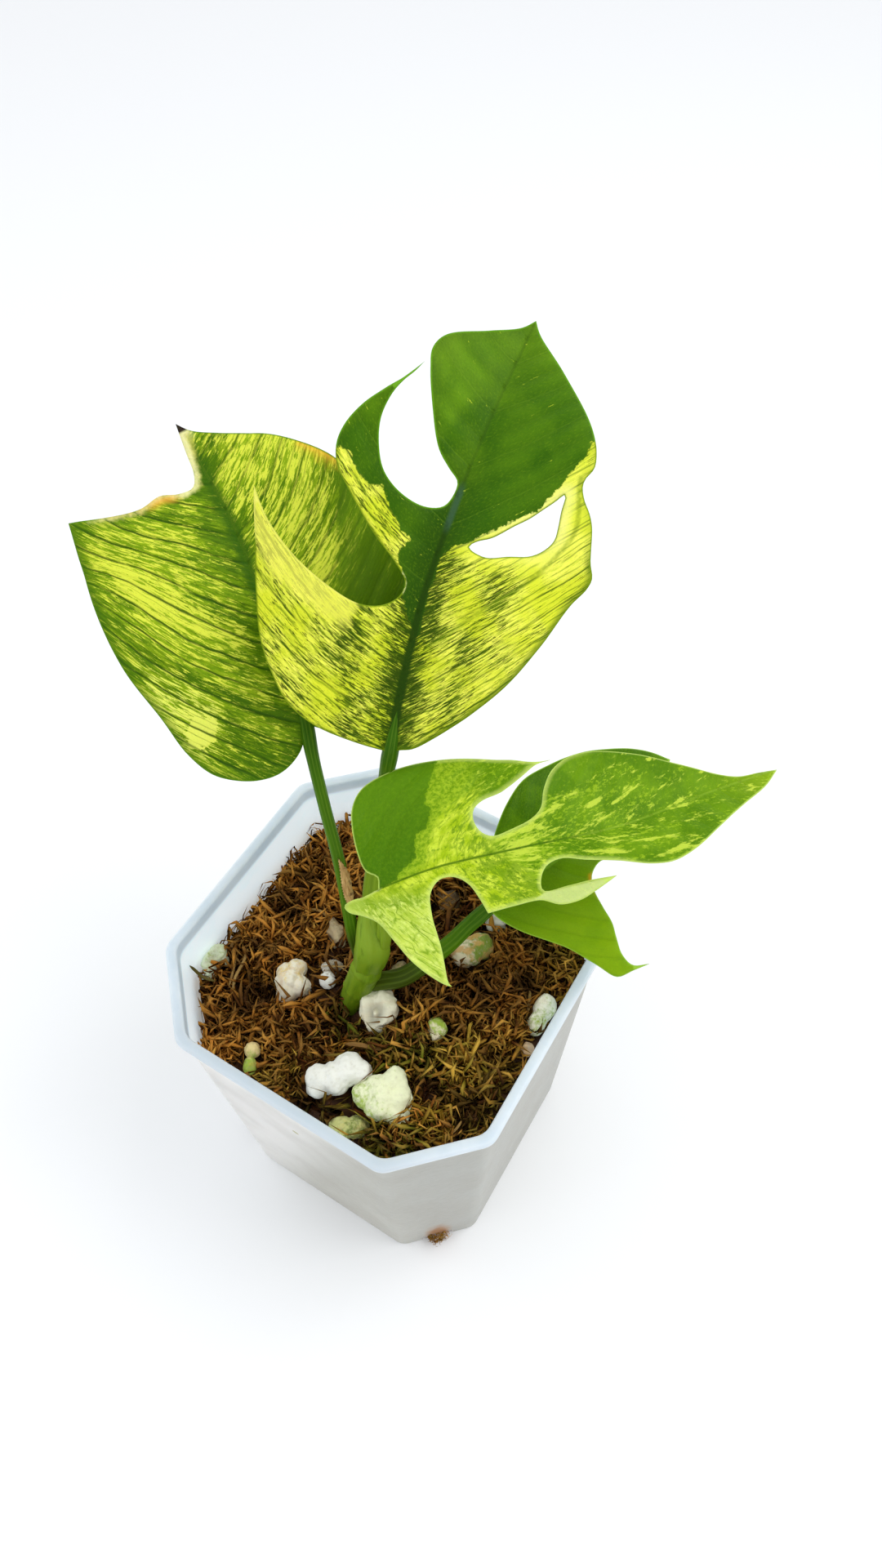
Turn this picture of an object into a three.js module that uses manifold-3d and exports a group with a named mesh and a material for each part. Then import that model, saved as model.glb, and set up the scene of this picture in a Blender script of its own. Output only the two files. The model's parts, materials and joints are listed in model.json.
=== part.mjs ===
// A mini monstera: a young variegated climbing aroid with four leaves, in a clear square nursery pot
// filled with sphagnum moss and lumps of pumice.
//
// Millimetres, +Z up. The origin is the middle of the pot's underside, and the pot's flat sides face
// along X and Y. The plant leans back, towards +Y, and its newest low leaves reach over the +X side.
import * as THREE from "three";
import { mergeVertices } from "three/addons/utils/BufferGeometryUtils.js";
import Module from "manifold-3d";

const wasm = await Module();
wasm.setup();

// ---------------------------------------------------------------- driving dimensions

const POT = {
  height: 100,
  baseAcross: 79, // across the flats, at the floor
  baseCut: 15, // what each corner loses along either side
  rimAcross: 87.2, // outside of the wall, where it meets the lip
  rimCut: 16.7,
  wall: 1.2,
  floor: 1.6,
  cornerEase: 2, // how far the small curve at each of the eight edges reaches
};
const LIP = { overhang: 1.4, height: 2, ledgeOverhang: 0.6, ledgeHeight: 1.4 };
const DRAIN = { width: 9, height: 4.4, depth: 16 };
const GAP = 0.3; // kept between neighbours that touch on the real thing

const MOSS = { level: 84.5, riseX: 0.1, riseY: -0.04, relief: 1.1, cell: 5 };
const BLADE = { thickness: 0.8, cell: 4.4, edgeStep: 3, valley: 1.5 };
const SHEATH = { thickness: 0.6, from: 17, cell: 1.1 };

// Stem: points up its axis, and its radius at each of them.
const STEM = {
  path: [[-6.6, -17.2, 69], [-5.2, -14, 77], [-3.7, -10.5, 85], [-2.3, -7.2, 93], [-1.1, -4.9, 99], [-0.7, -4.2, 102]],
  radii: [1.4, 2.6, 2.9, 3.3, 3.5, 2.4],
};

// Each leaf is a midrib in space, the way its upper face looks, how steeply its two halves fold up from
// the rib (degrees) and flatten again with distance from it (degrees a millimetre), a few soft bulges
// (along, across, radius, height), and its outline laid flat: runs of points (along the rib, across it),
// each smooth in itself, that meet at the lobe tips. Positive across is the leaf's left half.
const LEAVES = {
  leaf_tall: {
    rib: [[-3, 12.5, 160], [-4.5, 19, 169], [-6.5, 31, 183], [-7.5, 45, 195.5], [-8.5, 60, 205], [-10.5, 80, 213]],
    facing: [0.43, -0.75, 0.85],
    fold: [22, 22],
    curl: [-0.7, -0.7],
    bulges: [[38, 33, 9, 4.5], [40, -26, 9, -2.5], [64, 19, 7, 3], [66, -20, 8, 2.5], [80, 6, 9, -1.5]],
    runs: [
      [[0, 0], [0.2, 2.3], [1.5, 8], [4.5, 16.5], [8.5, 22.5], [16.5, 27.8], [25.3, 30.6], [33, 32.6], [38.5, 34]],
      [[38.5, 34], [35, 30.5], [31.4, 25], [28.6, 18.3], [26.9, 11.5], [27.8, 7], [30.1, 4.5], [32.8, 4.4],
        [36.6, 7.2], [41.3, 13], [44.6, 17.7], [48.2, 22.8], [50.6, 24.4], [53.8, 24.7], [57.6, 23.3],
        [60.7, 20.8], [63.4, 17.5]],
      [[63.4, 17.5], [60.3, 18.5], [56.6, 18.6], [52.6, 17.2], [49.2, 14.8], [46.9, 10.6], [46.3, 5.5],
        [47.8, 2], [50.8, 1], [52.8, 1.3], [54.2, 3.6], [56.5, 6.9], [62, 10.8], [67.6, 14], [71.2, 15.3],
        [75, 14.3], [81.4, 7.4], [85.5, 2], [88, 0]],
      [[88, 0], [85.4, -2.1], [79, -9.2], [72.8, -15.4], [67.7, -19.3], [65.2, -20.8], [62.7, -21.6],
        [60.5, -20.9], [59.3, -21], [57.4, -22.2], [55.5, -24.1], [53.4, -25.5], [47.4, -27.7],
        [44.8, -29.1], [42.6, -28.9], [38.8, -27.3], [28, -24.1], [19, -20], [10.8, -13.9], [4.8, -8.3],
        [1.7, -4.5], [0.8, -2], [0, 0]],
    ],
    holes: [
      [[42.4, -5.4], [41.6, -9], [43.2, -13.2], [44.6, -16.9], [46.4, -18.9], [48.6, -20], [51, -19.8],
        [54, -19.2], [57, -18.7], [55.1, -17.4], [53, -15.9], [50.9, -14.4], [48.6, -12.2], [45.3, -9],
        [43.7, -6.4]],
    ],
    petiole: [[-1, -5, 98], [-1.6, -4, 104], [-2.4, -1.8, 111], [-3.9, 2.2, 121], [-4.7, 8.6, 137], [-4, 11.2, 151]],
    radii: [1.7, 1.9, 1.9, 1.7, 1.6, 1.5, 1.5],
    colour: 0x5f9a1c,
  },
  leaf_left: {
    rib: [[-21, 9.5, 160], [-34, 17.5, 177.5], [-46, 25.5, 188], [-57, 31, 194.5], [-65.5, 35.5, 198]],
    facing: [0.5, -0.55, 0.8],
    fold: [16, 14],
    curl: [-0.6, -0.6],
    bulges: [[55, 26, 9, 3], [0, 16, 10, -3]],
    runs: [
      [[0, 0], [-4.6, 3.3], [-7, 7.4], [-7.5, 11.1], [-6.4, 16], [-3, 21.2], [2.8, 24.3], [11.4, 26.2],
        [22.4, 29.2], [33.5, 30.2], [46.8, 29], [54.1, 27]],
      [[54.1, 27], [52.5, 20.5], [51.7, 14.2], [52.5, 9.8], [51.4, 6.5], [51.4, 3.4], [53.8, 1.9], [58.5, 1.2],
        [65.2, 0.2]],
      [[65.2, 0.2], [62, -2], [58.2, -6.7], [53.8, -13.5], [49.2, -18.6], [43.8, -23.8], [39.4, -26.1],
        [33.2, -28.1], [26, -29], [20.2, -27.7], [14.4, -22.9], [7, -15.2], [0.6, -7.8], [-1.8, -3.4], [0, 0]],
    ],
    holes: [],
    petiole: [[-1.8, -6.2, 95], [-4.2, -6.6, 98], [-5.4, -5.8, 104], [-6.3, -3.9, 115], [-9.5, -0.8, 131],
      [-13.4, 2.1, 145], [-17.8, 5.9, 156]],
    radii: [1.5, 1.5, 1.4, 1.2, 1.2, 1.2, 1.2, 1.3],
    colour: 0x86a81f,
  },
  leaf_front: {
    rib: [[8, -10, 149], [16, -1, 151], [28, 10.5, 152], [42, 25, 151.5], [53.5, 43, 149], [63, 58, 146]],
    facing: [0.1, -0.22, 1],
    fold: [10, 28],
    curl: [-0.8, -0.9],
    bulges: [[3, 14, 9, -3], [6, -20, 8, -4], [34, 15, 6, 2]],
    runs: [
      [[0, 0], [0.6, 2.3], [-1.2, 4.3], [-1.7, 8.6], [-1.1, 14.8], [0.2, 18.4], [3.6, 21.2], [9.5, 22.3],
        [16.3, 21.8], [24, 20.2], [30.8, 17.8], [35.2, 15.7]],
      [[35.2, 15.7], [32, 13.6], [27.9, 11.8], [23.6, 11], [21.6, 9.7], [21, 7.5], [21.8, 5], [23.8, 3.6],
        [27.7, 4.1], [32, 5.3], [34.3, 7], [35.8, 10.6], [38.4, 14], [43, 16.4], [51, 16.4], [60, 13],
        [67.3, 8], [74.5, 3.2], [79, 1.3], [84, 0.7], [88.5, 0]],
      [[88.5, 0], [83, -3.1], [74.7, -5.9], [66, -8.9], [58.2, -11.4], [53.5, -12], [50.2, -11], [45.4, -8.2],
        [39.4, -6], [35.6, -4.6], [32.6, -5.4], [30.6, -7.8], [29.9, -11.2], [35, -11.2], [39.2, -11], [43.6, -11.3]],
      [[43.6, -11.3], [38.9, -13.6], [36.1, -14.7], [32.3, -14.8], [28.7, -13], [24.2, -13], [19.2, -13.3]],
      [[19.2, -13.3], [18.4, -10], [17, -5.9], [14.8, -3.5], [12, -3.1], [9.5, -5.4], [8.3, -10.2],
        [7.9, -16.7], [6.8, -24.4]],
      [[6.8, -24.4], [4.2, -21.6], [1.8, -17.5], [0, -12.4], [-1.8, -7.8], [-4.1, -5.2], [-6.5, -3.2],
        [-7.1, -1.3], [-5.6, -0.5], [-3, -0.7], [0, 0]],
    ],
    holes: [],
    petiole: [[-0.6, -4.2, 99], [1.2, -2.9, 104.5], [4.1, -4.3, 122], [6.8, -8.3, 140]],
    radii: [1.5, 1.6, 1.6, 1.4, 1.3],
    colour: 0x74ad26,
  },
  leaf_low: {
    rib: [[20, 13, 116], [25, 23, 119], [30.5, 36.5, 121], [34.5, 54, 120.5], [38, 70, 118]],
    facing: [0.35, -0.2, 1],
    fold: [14, 12],
    curl: [-0.9, -0.7],
    bulges: [[20, -27, 8, 2.5]],
    runs: [
      [[0, 0], [3.2, 5], [7.4, 9.9], [10.8, 12.8], [17, 16.8], [24.2, 19], [33.4, 17.7], [41, 15.1],
        [46.5, 12], [53.2, 7.8], [57.8, 3.9], [61, 0]],
      [[61, 0], [54.4, -3.8], [46.6, -9.2], [37, -12], [30.4, -9.2], [26.6, -6.6], [23.2, -7.6], [21.4, -10.4],
        [20.5, -14.8], [19.9, -18.7], [18.6, -21.9], [17.5, -25.4], [18, -28.7], [20.8, -30.8]],
      [[20.8, -30.8], [17.7, -29.8], [14, -28.8], [11.9, -24.6], [9, -17.4], [6.8, -13.9], [2.9, -8.2],
        [0.6, -3.4], [0, 0]],
    ],
    holes: [],
    petiole: [[-1.9, -6.6, 90], [1.5, -4.8, 91.5], [6.9, -1.5, 95], [13.5, 4.8, 104], [17.2, 9.7, 111]],
    radii: [1.7, 1.9, 2, 2, 1.8, 1.5],
    colour: 0x3f8a1e,
  },
};

// Dry sheath laid flat: along the petiole, and across it round the side that SHEATH_SIDE names.
const SHEATH_RUNS = [
  [[0, -1.3], [3, -1.8], [7, -1.7], [11, -1], [15, 0.2]],
  [[15, 0.2], [11, 1.2], [7, 1.8], [3, 1.7], [0, 1.2]],
  [[0, 1.2], [-0.3, 0], [0, -1.3]],
];
const SHEATH_SIDE = [0.75, -0.65, 0];

// Stones: centre x and y, height of the centre over the moss, width, depth, height, turn about Z (degrees).
const STONES = [
  [-19.7, -14.3, 1.6, 8, 10.5, 7.5, 32],
  [-11.9, -9.6, 0.6, 4.2, 4, 4, 32],
  [5.2, -11.4, 1.4, 9.4, 8, 8.5, 32],
  [5, -29.1, 2, 15.6, 8, 7.5, 58],
  [17, -28, 2.4, 13.6, 9, 9, 32],
  [15.8, -37.2, 0.6, 9.4, 6, 6, 32],
  [15.3, 14.4, 1.2, 11, 8.5, 7, 50],
  [38.4, 7.6, 1.6, 5.4, 10, 8.5, 4],
  [-37.6, -18.6, 1.8, 5.6, 8.5, 8, 4],
  [19.1, -8.1, 0.6, 4, 4.6, 4, 20],
  [-15.4, -35.2, 0.8, 4, 6, 4.6, 32],
  [-19.4, 4.7, 0.4, 4.4, 8, 5, 50],
  [16, 25, 0.8, 6.4, 5.4, 5, 10],
  [1.8, 25.5, 0.6, 6.4, 6.8, 5, 60],
  [4.8, 1.6, 0.2, 7.5, 4.4, 3.6, 32],
  [39.4, -3.6, 0.6, 3, 3, 3, 0],
];
const LARGE_STONE = 7; // at this width or depth and over, a stone gets the finer skin

// ---------------------------------------------------------------- small helpers

const point = ([x, y, z]) => new THREE.Vector3(x, y, z);
const smooth = (points) => new THREE.CatmullRomCurve3(points, false, "catmullrom", 0.5);
const radians = THREE.MathUtils.degToRad;
const mix = THREE.MathUtils.lerp;

function geometryOf(points, triangles) {
  const geometry = new THREE.BufferGeometry();
  geometry.setAttribute("position", new THREE.Float32BufferAttribute(points.flatMap((p) => [p.x, p.y, p.z]), 3));
  geometry.setIndex(triangles.flat());
  return geometry;
}

function solidOf(geometry) {
  const bare = geometry.clone();
  bare.deleteAttribute("normal");
  bare.deleteAttribute("uv");
  const merged = mergeVertices(bare, 1e-4);
  const vertProperties = Float32Array.from(merged.attributes.position.array);
  const triVerts = Uint32Array.from(merged.index.array);
  return new wasm.Manifold(new wasm.Mesh({ numProp: 3, vertProperties, triVerts }));
}

// The geometry of a cut or joined solid. A scrap that a cut leaves loose is dropped.
function geometryOfSolid(solid) {
  const bodies = solid.decompose().sort((a, b) => b.volume() - a.volume());
  const mesh = bodies[0].getMesh();
  const geometry = new THREE.BufferGeometry();
  geometry.setAttribute("position", new THREE.Float32BufferAttribute(mesh.vertProperties, mesh.numProp));
  geometry.setIndex(Array.from(mesh.triVerts));
  return geometry;
}

// A closed skin over rings of equal point counts, each turning left about the way the skin travels,
// with a fan over the first and the last.
function loft(rings) {
  const points = rings.flat();
  const around = rings[0].length;
  const triangles = [];
  const corner = (ring, j) => ring * around + (j % around);
  for (let ring = 0; ring + 1 < rings.length; ring += 1) {
    for (let j = 0; j < around; j += 1) {
      triangles.push([corner(ring, j), corner(ring, j + 1), corner(ring + 1, j + 1)]);
      triangles.push([corner(ring, j), corner(ring + 1, j + 1), corner(ring + 1, j)]);
    }
  }
  const middle = (ring) => ring.reduce((sum, p) => sum.add(p), new THREE.Vector3()).divideScalar(around);
  const last = rings.length - 1;
  const start = points.push(middle(rings[0])) - 1;
  const end = points.push(middle(rings[last])) - 1;
  for (let j = 0; j < around; j += 1) {
    triangles.push([start, corner(0, j + 1), corner(0, j)]);
    triangles.push([end, corner(last, j), corner(last, j + 1)]);
  }
  return geometryOf(points, triangles);
}

// A round bar along a curve. The radii are spread evenly along it, and `grow` adds to them all.
function bar(curve, radii, { sides = 8, step = 4, grow = 0 } = {}) {
  const steps = Math.max(3, Math.round(curve.getLength() / step));
  const frames = curve.computeFrenetFrames(steps, false);
  const rings = [];
  for (let i = 0; i <= steps; i += 1) {
    const centre = curve.getPointAt(i / steps);
    const radius = radiusAlong(radii, i / steps) + grow;
    rings.push(Array.from({ length: sides }, (_, j) => {
      const angle = (2 * Math.PI * j) / sides;
      return centre.clone()
        .addScaledVector(frames.normals[i], radius * Math.cos(angle))
        .addScaledVector(frames.binormals[i], radius * Math.sin(angle));
    }));
  }
  return loft(rings);
}

function radiusAlong(radii, t) {
  const place = t * (radii.length - 1);
  const below = Math.min(Math.floor(place), radii.length - 2);
  return mix(radii[below], radii[below + 1], place - below);
}

// ---------------------------------------------------------------- sheets from flat outlines

const cross = (a, b, c) => (b.x - a.x) * (c.y - a.y) - (b.y - a.y) * (c.x - a.x);

// Samples a smooth run of flat points at even steps, without its last point.
function sampleRun(run, step, closed = false) {
  const curve = new THREE.CatmullRomCurve3(run.map(([u, v]) => new THREE.Vector3(u, v, 0)), closed, "centripetal");
  const count = Math.max(2, Math.ceil(curve.getLength() / step));
  return curve.getSpacedPoints(count).slice(0, count).map((p) => new THREE.Vector2(p.x, p.y));
}

// Splits the inside of a flat outline into well-shaped triangles, with extra points on a honeycomb.
function fillOutline(outline, holes, cell) {
  const points = [...outline, ...holes.flat()];
  const triangles = THREE.ShapeUtils.triangulateShape(outline, holes)
    .map(([a, b, c]) => (cross(points[a], points[b], points[c]) > 0 ? [a, b, c] : [a, c, b]));
  const edge = points.slice();
  const box = new THREE.Box2().setFromPoints(edge);
  const row = cell * Math.sin(Math.PI / 3);
  for (let y = box.min.y, odd = 0; y < box.max.y; y += row, odd = 1 - odd) {
    for (let x = box.min.x + (odd * cell) / 2; x < box.max.x; x += cell) {
      const spot = new THREE.Vector2(x, y);
      const clear = edge.every((p) => p.distanceTo(spot) > 0.6 * cell);
      const home = clear ? triangles.findIndex((t) => holdsPoint(t.map((k) => points[k]), spot)) : -1;
      if (home >= 0) {
        const [a, b, c] = triangles[home];
        const k = points.push(spot) - 1;
        triangles.splice(home, 1, [a, b, k], [b, c, k], [c, a, k]);
      }
    }
  }
  flipLongEdges(points, triangles);
  return { points, triangles };
}

function holdsPoint([a, b, c], p) {
  const least = 1e-3;
  return cross(a, b, p) > least && cross(b, c, p) > least && cross(c, a, p) > least;
}

function angleAt(tip, a, b) {
  const one = a.clone().sub(tip);
  const two = b.clone().sub(tip);
  return Math.acos(THREE.MathUtils.clamp(one.dot(two) / (one.length() * two.length()), -1, 1));
}

// Swaps an inner edge for the other diagonal of its two triangles wherever that makes both rounder.
function flipLongEdges(points, triangles) {
  for (let swapped = true; swapped;) {
    swapped = false;
    const facing = new Map(); // directed edge to its triangle and that triangle's third corner
    triangles.forEach(([a, b, c], t) => {
      facing.set(`${a},${b}`, [t, c]);
      facing.set(`${b},${c}`, [t, a]);
      facing.set(`${c},${a}`, [t, b]);
    });
    const changed = new Set();
    for (const [edge, [t, c]] of facing) {
      const [a, b] = edge.split(",").map(Number);
      const [s, d] = facing.get(`${b},${a}`) ?? [];
      if (s === undefined || changed.has(t) || changed.has(s)) continue;
      const sum = angleAt(points[c], points[a], points[b]) + angleAt(points[d], points[a], points[b]);
      if (sum > Math.PI + 1e-6) {
        triangles[t] = [a, d, c];
        triangles[s] = [d, b, c];
        changed.add(t).add(s);
        swapped = true;
      }
    }
  }
}

// A sheet over a filled outline: place(u, v, side) puts a flat point on the upper face (side 1) or the
// lower one (side -1). Both faces are split alike, and a band closes every open edge.
function sheet({ points, triangles }, place) {
  const count = points.length;
  const skin = [...points.map((p) => place(p.x, p.y, 1)), ...points.map((p) => place(p.x, p.y, -1))];
  const edges = new Set(triangles.flatMap(([a, b, c]) => [`${a},${b}`, `${b},${c}`, `${c},${a}`]));
  const faces = [...triangles, ...triangles.map(([a, b, c]) => [a + count, c + count, b + count])];
  for (const edge of edges) {
    const [a, b] = edge.split(",").map(Number);
    if (!edges.has(`${b},${a}`)) {
      faces.push([b, a, a + count], [b, a + count, b + count]);
    }
  }
  return geometryOf(skin, faces);
}

// ---------------------------------------------------------------- pot

// The pot's eight corners at height z, moved in by `inset`, with X and Y only.
function potCorners(z, inset) {
  const share = z / POT.height;
  const half = mix(POT.baseAcross, POT.rimAcross, share) / 2 - inset;
  const cut = mix(POT.baseCut, POT.rimCut, share) - (2 - Math.SQRT2) * inset;
  const short = half - cut;
  return [[half, -short], [half, short], [short, half], [-short, half],
    [-half, short], [-half, -short], [-short, -half], [short, -half]]
    .map(([x, y]) => new THREE.Vector2(x, y));
}

function potRing(z, inset) {
  const corners = potCorners(z, inset);
  const ring = [];
  corners.forEach((corner, i) => {
    const before = corners.at(i - 1);
    const after = corners[(i + 1) % corners.length];
    const from = corner.clone().add(before.clone().sub(corner).setLength(POT.cornerEase));
    const to = corner.clone().add(after.clone().sub(corner).setLength(POT.cornerEase));
    const bend = new THREE.QuadraticBezierCurve(from, corner, to);
    ring.push(...bend.getPoints(3).map((p) => new THREE.Vector3(p.x, p.y, z)));
  });
  return ring;
}

function makePot() {
  const underLip = POT.height - LIP.height;
  const underLedge = underLip - LIP.ledgeHeight;
  const softEdge = 0.5;
  const shell = solidOf(loft([
    potRing(0, 0.8),
    potRing(0.8, 0),
    potRing(underLedge, 0),
    potRing(underLedge, -LIP.ledgeOverhang),
    potRing(underLip, -LIP.ledgeOverhang),
    potRing(underLip, -LIP.overhang),
    potRing(POT.height - softEdge, -LIP.overhang),
    potRing(POT.height, softEdge - LIP.overhang),
    potRing(POT.height, POT.wall - softEdge),
    potRing(POT.height - softEdge, POT.wall),
    potRing(POT.floor, POT.wall),
  ]));
  const cutters = [1, 3, 5, 7].map((eighth) => {
    const slot = new THREE.BoxGeometry(DRAIN.depth, DRAIN.width, 2 * DRAIN.height);
    slot.translate(chamferReach(0), 0, 0);
    slot.rotateZ((eighth * Math.PI) / 4);
    return solidOf(slot);
  });
  return geometryOfSolid(shell.subtract(wasm.Manifold.union(cutters)));
}

// How far the middle of a cut corner's face is from the pot's axis, at height z.
function chamferReach(z) {
  const [first, second] = potCorners(z, 0).slice(1, 3);
  return first.clone().add(second).multiplyScalar(0.5).length();
}

// ---------------------------------------------------------------- stones and moss

function mossHeight(x, y) {
  const relief = Math.sin(0.23 * x + 1.1) * Math.cos(0.19 * y - 0.6)
    + 0.6 * Math.sin(0.47 * x - 0.41 * y + 2)
    + 0.4 * Math.cos(0.33 * x + 0.59 * y);
  return MOSS.level + MOSS.riseX * x + MOSS.riseY * y + MOSS.relief * relief;
}

// A lump of pumice: a ball stretched to its size, with knobs that its number settles.
function makeStone([x, y, over, width, depth, height, turn], index, grow) {
  const fineness = Math.max(width, depth) >= LARGE_STONE ? 2 : 1;
  const ball = mergeVertices(bareIcosahedron(fineness));
  const spots = ball.attributes.position;
  const way = new THREE.Vector3();
  for (let i = 0; i < spots.count; i += 1) {
    way.fromBufferAttribute(spots, i).normalize();
    const knobs = 1 + 0.11 * Math.sin(3.1 * way.x + 2.3 * way.z + 1.7 * index)
      + 0.08 * Math.sin(4.7 * way.y - 2.9 * way.x + 2.6 * index)
      + 0.05 * Math.cos(6.1 * way.z + 5.3 * way.y + 0.9 * index);
    const half = new THREE.Vector3(width, depth, height).multiplyScalar(0.5 * knobs).addScalar(grow);
    way.multiply(half);
    spots.setXYZ(i, way.x, way.y, way.z);
  }
  ball.rotateZ(radians(turn));
  ball.translate(x, y, mossHeight(x, y) + over);
  return ball;
}

function bareIcosahedron(fineness) {
  const ball = new THREE.IcosahedronGeometry(1, fineness);
  ball.deleteAttribute("normal");
  ball.deleteAttribute("uv");
  return ball;
}

// The moss fills the pot up to its loose top. Stones and the stem stand in it with a small clearance,
// and a tuft of it sticks out of the drain slot between the -Y and +X sides.
function makeMoss() {
  const bottom = POT.floor + GAP;
  const inset = POT.wall + 0.4;
  const across = (z) => potCorners(z, inset)[0].x;
  const outline = potCorners(MOSS.level, inset);
  const place = (x, y, side) => {
    const z = side > 0 ? mossHeight(x, y) : bottom;
    const taper = across(z) / across(MOSS.level);
    return new THREE.Vector3(x * taper, y * taper, z);
  };
  const bed = solidOf(sheet(fillOutline(outline, [], MOSS.cell), place));
  const tuft = new THREE.IcosahedronGeometry(1, 2);
  tuft.scale(4.4, 3, 1.6);
  tuft.translate(chamferReach(0) - 1.6, 0, 2.3);
  tuft.rotateZ(-Math.PI / 4);
  const pockets = STONES.map((stone, i) => solidOf(makeStone(stone, i, 1.5 * GAP)));
  const stemHole = solidOf(stemBar(GAP));
  return geometryOfSolid(bed.add(solidOf(tuft)).subtract(wasm.Manifold.union([stemHole, ...pockets])));
}

// ---------------------------------------------------------------- stem and leaves

function stemBar(grow) {
  return bar(smooth(STEM.path.map(point)), STEM.radii, { sides: 12, step: 3, grow });
}

// The middle surface of a leaf blade: returns the place, and the way its upper face looks, at (u, v).
function bladeSurface({ rib, facing, fold, curl, bulges }) {
  const curve = smooth(rib.map(point));
  const length = curve.getLength();
  const look = point(facing).normalize();
  const middle = (u, v) => {
    const along = THREE.MathUtils.clamp(u / length, 0, 1);
    const tangent = curve.getTangentAt(along);
    const spot = curve.getPointAt(along).addScaledVector(tangent, u - along * length);
    const side = look.clone().cross(tangent).normalize();
    const up = tangent.clone().cross(side);
    const half = v >= 0 ? 0 : 1;
    const steep = radians(fold[half]);
    const bend = radians(curl[half]);
    const width = (Math.sin(steep + bend * Math.abs(v)) - Math.sin(steep)) / bend;
    const rounded = Math.hypot(v, BLADE.valley);
    let rise = (Math.cos(steep) - Math.cos(steep + bend * rounded)) / bend;
    for (const [atU, atV, radius, height] of bulges) {
      rise += height * Math.exp(-((u - atU) ** 2 + (v - atV) ** 2) / radius ** 2);
    }
    return spot.addScaledVector(side, Math.sign(v) * width).addScaledVector(up, rise);
  };
  const facingUp = (u, v) => {
    const reach = 0.5;
    const along = middle(u + reach, v).sub(middle(u - reach, v));
    const across = middle(u, v + reach).sub(middle(u, v - reach));
    return along.cross(across).normalize();
  };
  return { middle, facingUp, length };
}

function petioleCurve(leaf) {
  const { middle, facingUp } = bladeSurface(leaf);
  const joint = middle(1, 0).addScaledVector(facingUp(1, 0), -1);
  return smooth([...leaf.petiole.map(point), joint]);
}

function petioleBar(leaf, grow) {
  return bar(petioleCurve(leaf), leaf.radii, { grow });
}

// One grown piece: the petiole, the blade, and the midrib that stands out under the blade.
function makeLeaf(leaf, neighbours) {
  const { middle, facingUp, length } = bladeSurface(leaf);
  const outline = leaf.runs.flatMap((run) => sampleRun(run, BLADE.edgeStep)).reverse();
  const holes = leaf.holes.map((hole) => sampleRun(hole, BLADE.edgeStep, true));
  const half = BLADE.thickness / 2;
  const place = (u, v, side) => middle(u, v).addScaledVector(facingUp(u, v), side * half);
  const blade = sheet(fillOutline(outline, holes, BLADE.cell), place);
  const ribPoints = Array.from({ length: 9 }, (_, i) => {
    const u = 0.5 + (i / 8) * 0.82 * length;
    return middle(u, 0).addScaledVector(facingUp(u, 0), -0.55);
  });
  const ribRadii = [leaf.radii.at(-1) - 0.2, 1, 0.8, 0.6, 0.5];
  const rib = bar(smooth(ribPoints), ribRadii, { sides: 6, step: 6 });
  const grown = wasm.Manifold.union([blade, rib, petioleBar(leaf, 0)].map(solidOf));
  return geometryOfSolid(grown.subtract(wasm.Manifold.union(neighbours)));
}

// The dry sheath: a thin curled scale that wraps the side of the left leaf's petiole.
function makeSheath(leaf) {
  const curve = petioleCurve(leaf);
  const length = curve.getLength();
  const outline = SHEATH_RUNS.flatMap((run) => sampleRun(run, SHEATH.cell));
  const place = (u, v, side) => {
    const along = (SHEATH.from + u) / length;
    const tangent = curve.getTangentAt(along);
    const inner = radiusAlong(leaf.radii, along) + GAP;
    const out = point(SHEATH_SIDE).projectOnPlane(tangent).normalize();
    out.applyAxisAngle(tangent, -v / inner);
    const reach = inner + (side > 0 ? SHEATH.thickness : 0);
    return curve.getPointAt(along).addScaledVector(out, reach);
  };
  return sheet(fillOutline(outline, [], SHEATH.cell), place);
}

// ---------------------------------------------------------------- the assembly

const plant = new THREE.Group();

function addPiece(name, geometry, color, roughness = 0.6) {
  geometry.computeVertexNormals();
  const piece = new THREE.Mesh(geometry, new THREE.MeshStandardMaterial({ color, roughness, metalness: 0 }));
  piece.name = name;
  plant.add(piece);
}

addPiece("pot", makePot(), 0xd9dde6, 0.35);
addPiece("moss_bed", makeMoss(), 0x7a4a1c, 0.95);
STONES.forEach((stone, i) => {
  addPiece(`pumice_${String(i + 1).padStart(2, "0")}`, makeStone(stone, i, 0), 0xe6e2cf, 0.9);
});
addPiece("stem", stemBar(0), 0x5a8c2a, 0.5);

// Each petiole is cut back to a small clearance from the stem and from the petioles made before it.
const neighbours = [solidOf(stemBar(GAP))];
for (const [name, leaf] of Object.entries(LEAVES)) {
  addPiece(name, makeLeaf(leaf, neighbours), leaf.colour, 0.4);
  neighbours.push(solidOf(petioleBar(leaf, GAP)));
}
addPiece("dry_sheath", makeSheath(LEAVES.leaf_left), 0xb08a58, 0.8);

export default plant;
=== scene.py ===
# %% [markdown]
# # A mini monstera in its clear pot
# The finished object is a young variegated climbing aroid: four leaves on green stalks, a short stem, a bed
# of sphagnum moss with lumps of pumice, and a square nursery pot with cut corners. Its solids come packed
# from the CAD source as a fixed frame. Everything below is dressed over that frame, in metres, so a piece is
# made where it stands and never moved afterwards. Plain maths is done in millimetres, and scaled once, where
# a mesh is made.

# %% Load the fixed frame
import json
import math

import bmesh
import bpy
import numpy as np
from mathutils import Matrix, Vector, noise
from mathutils.geometry import delaunay_2d_cdt

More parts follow.
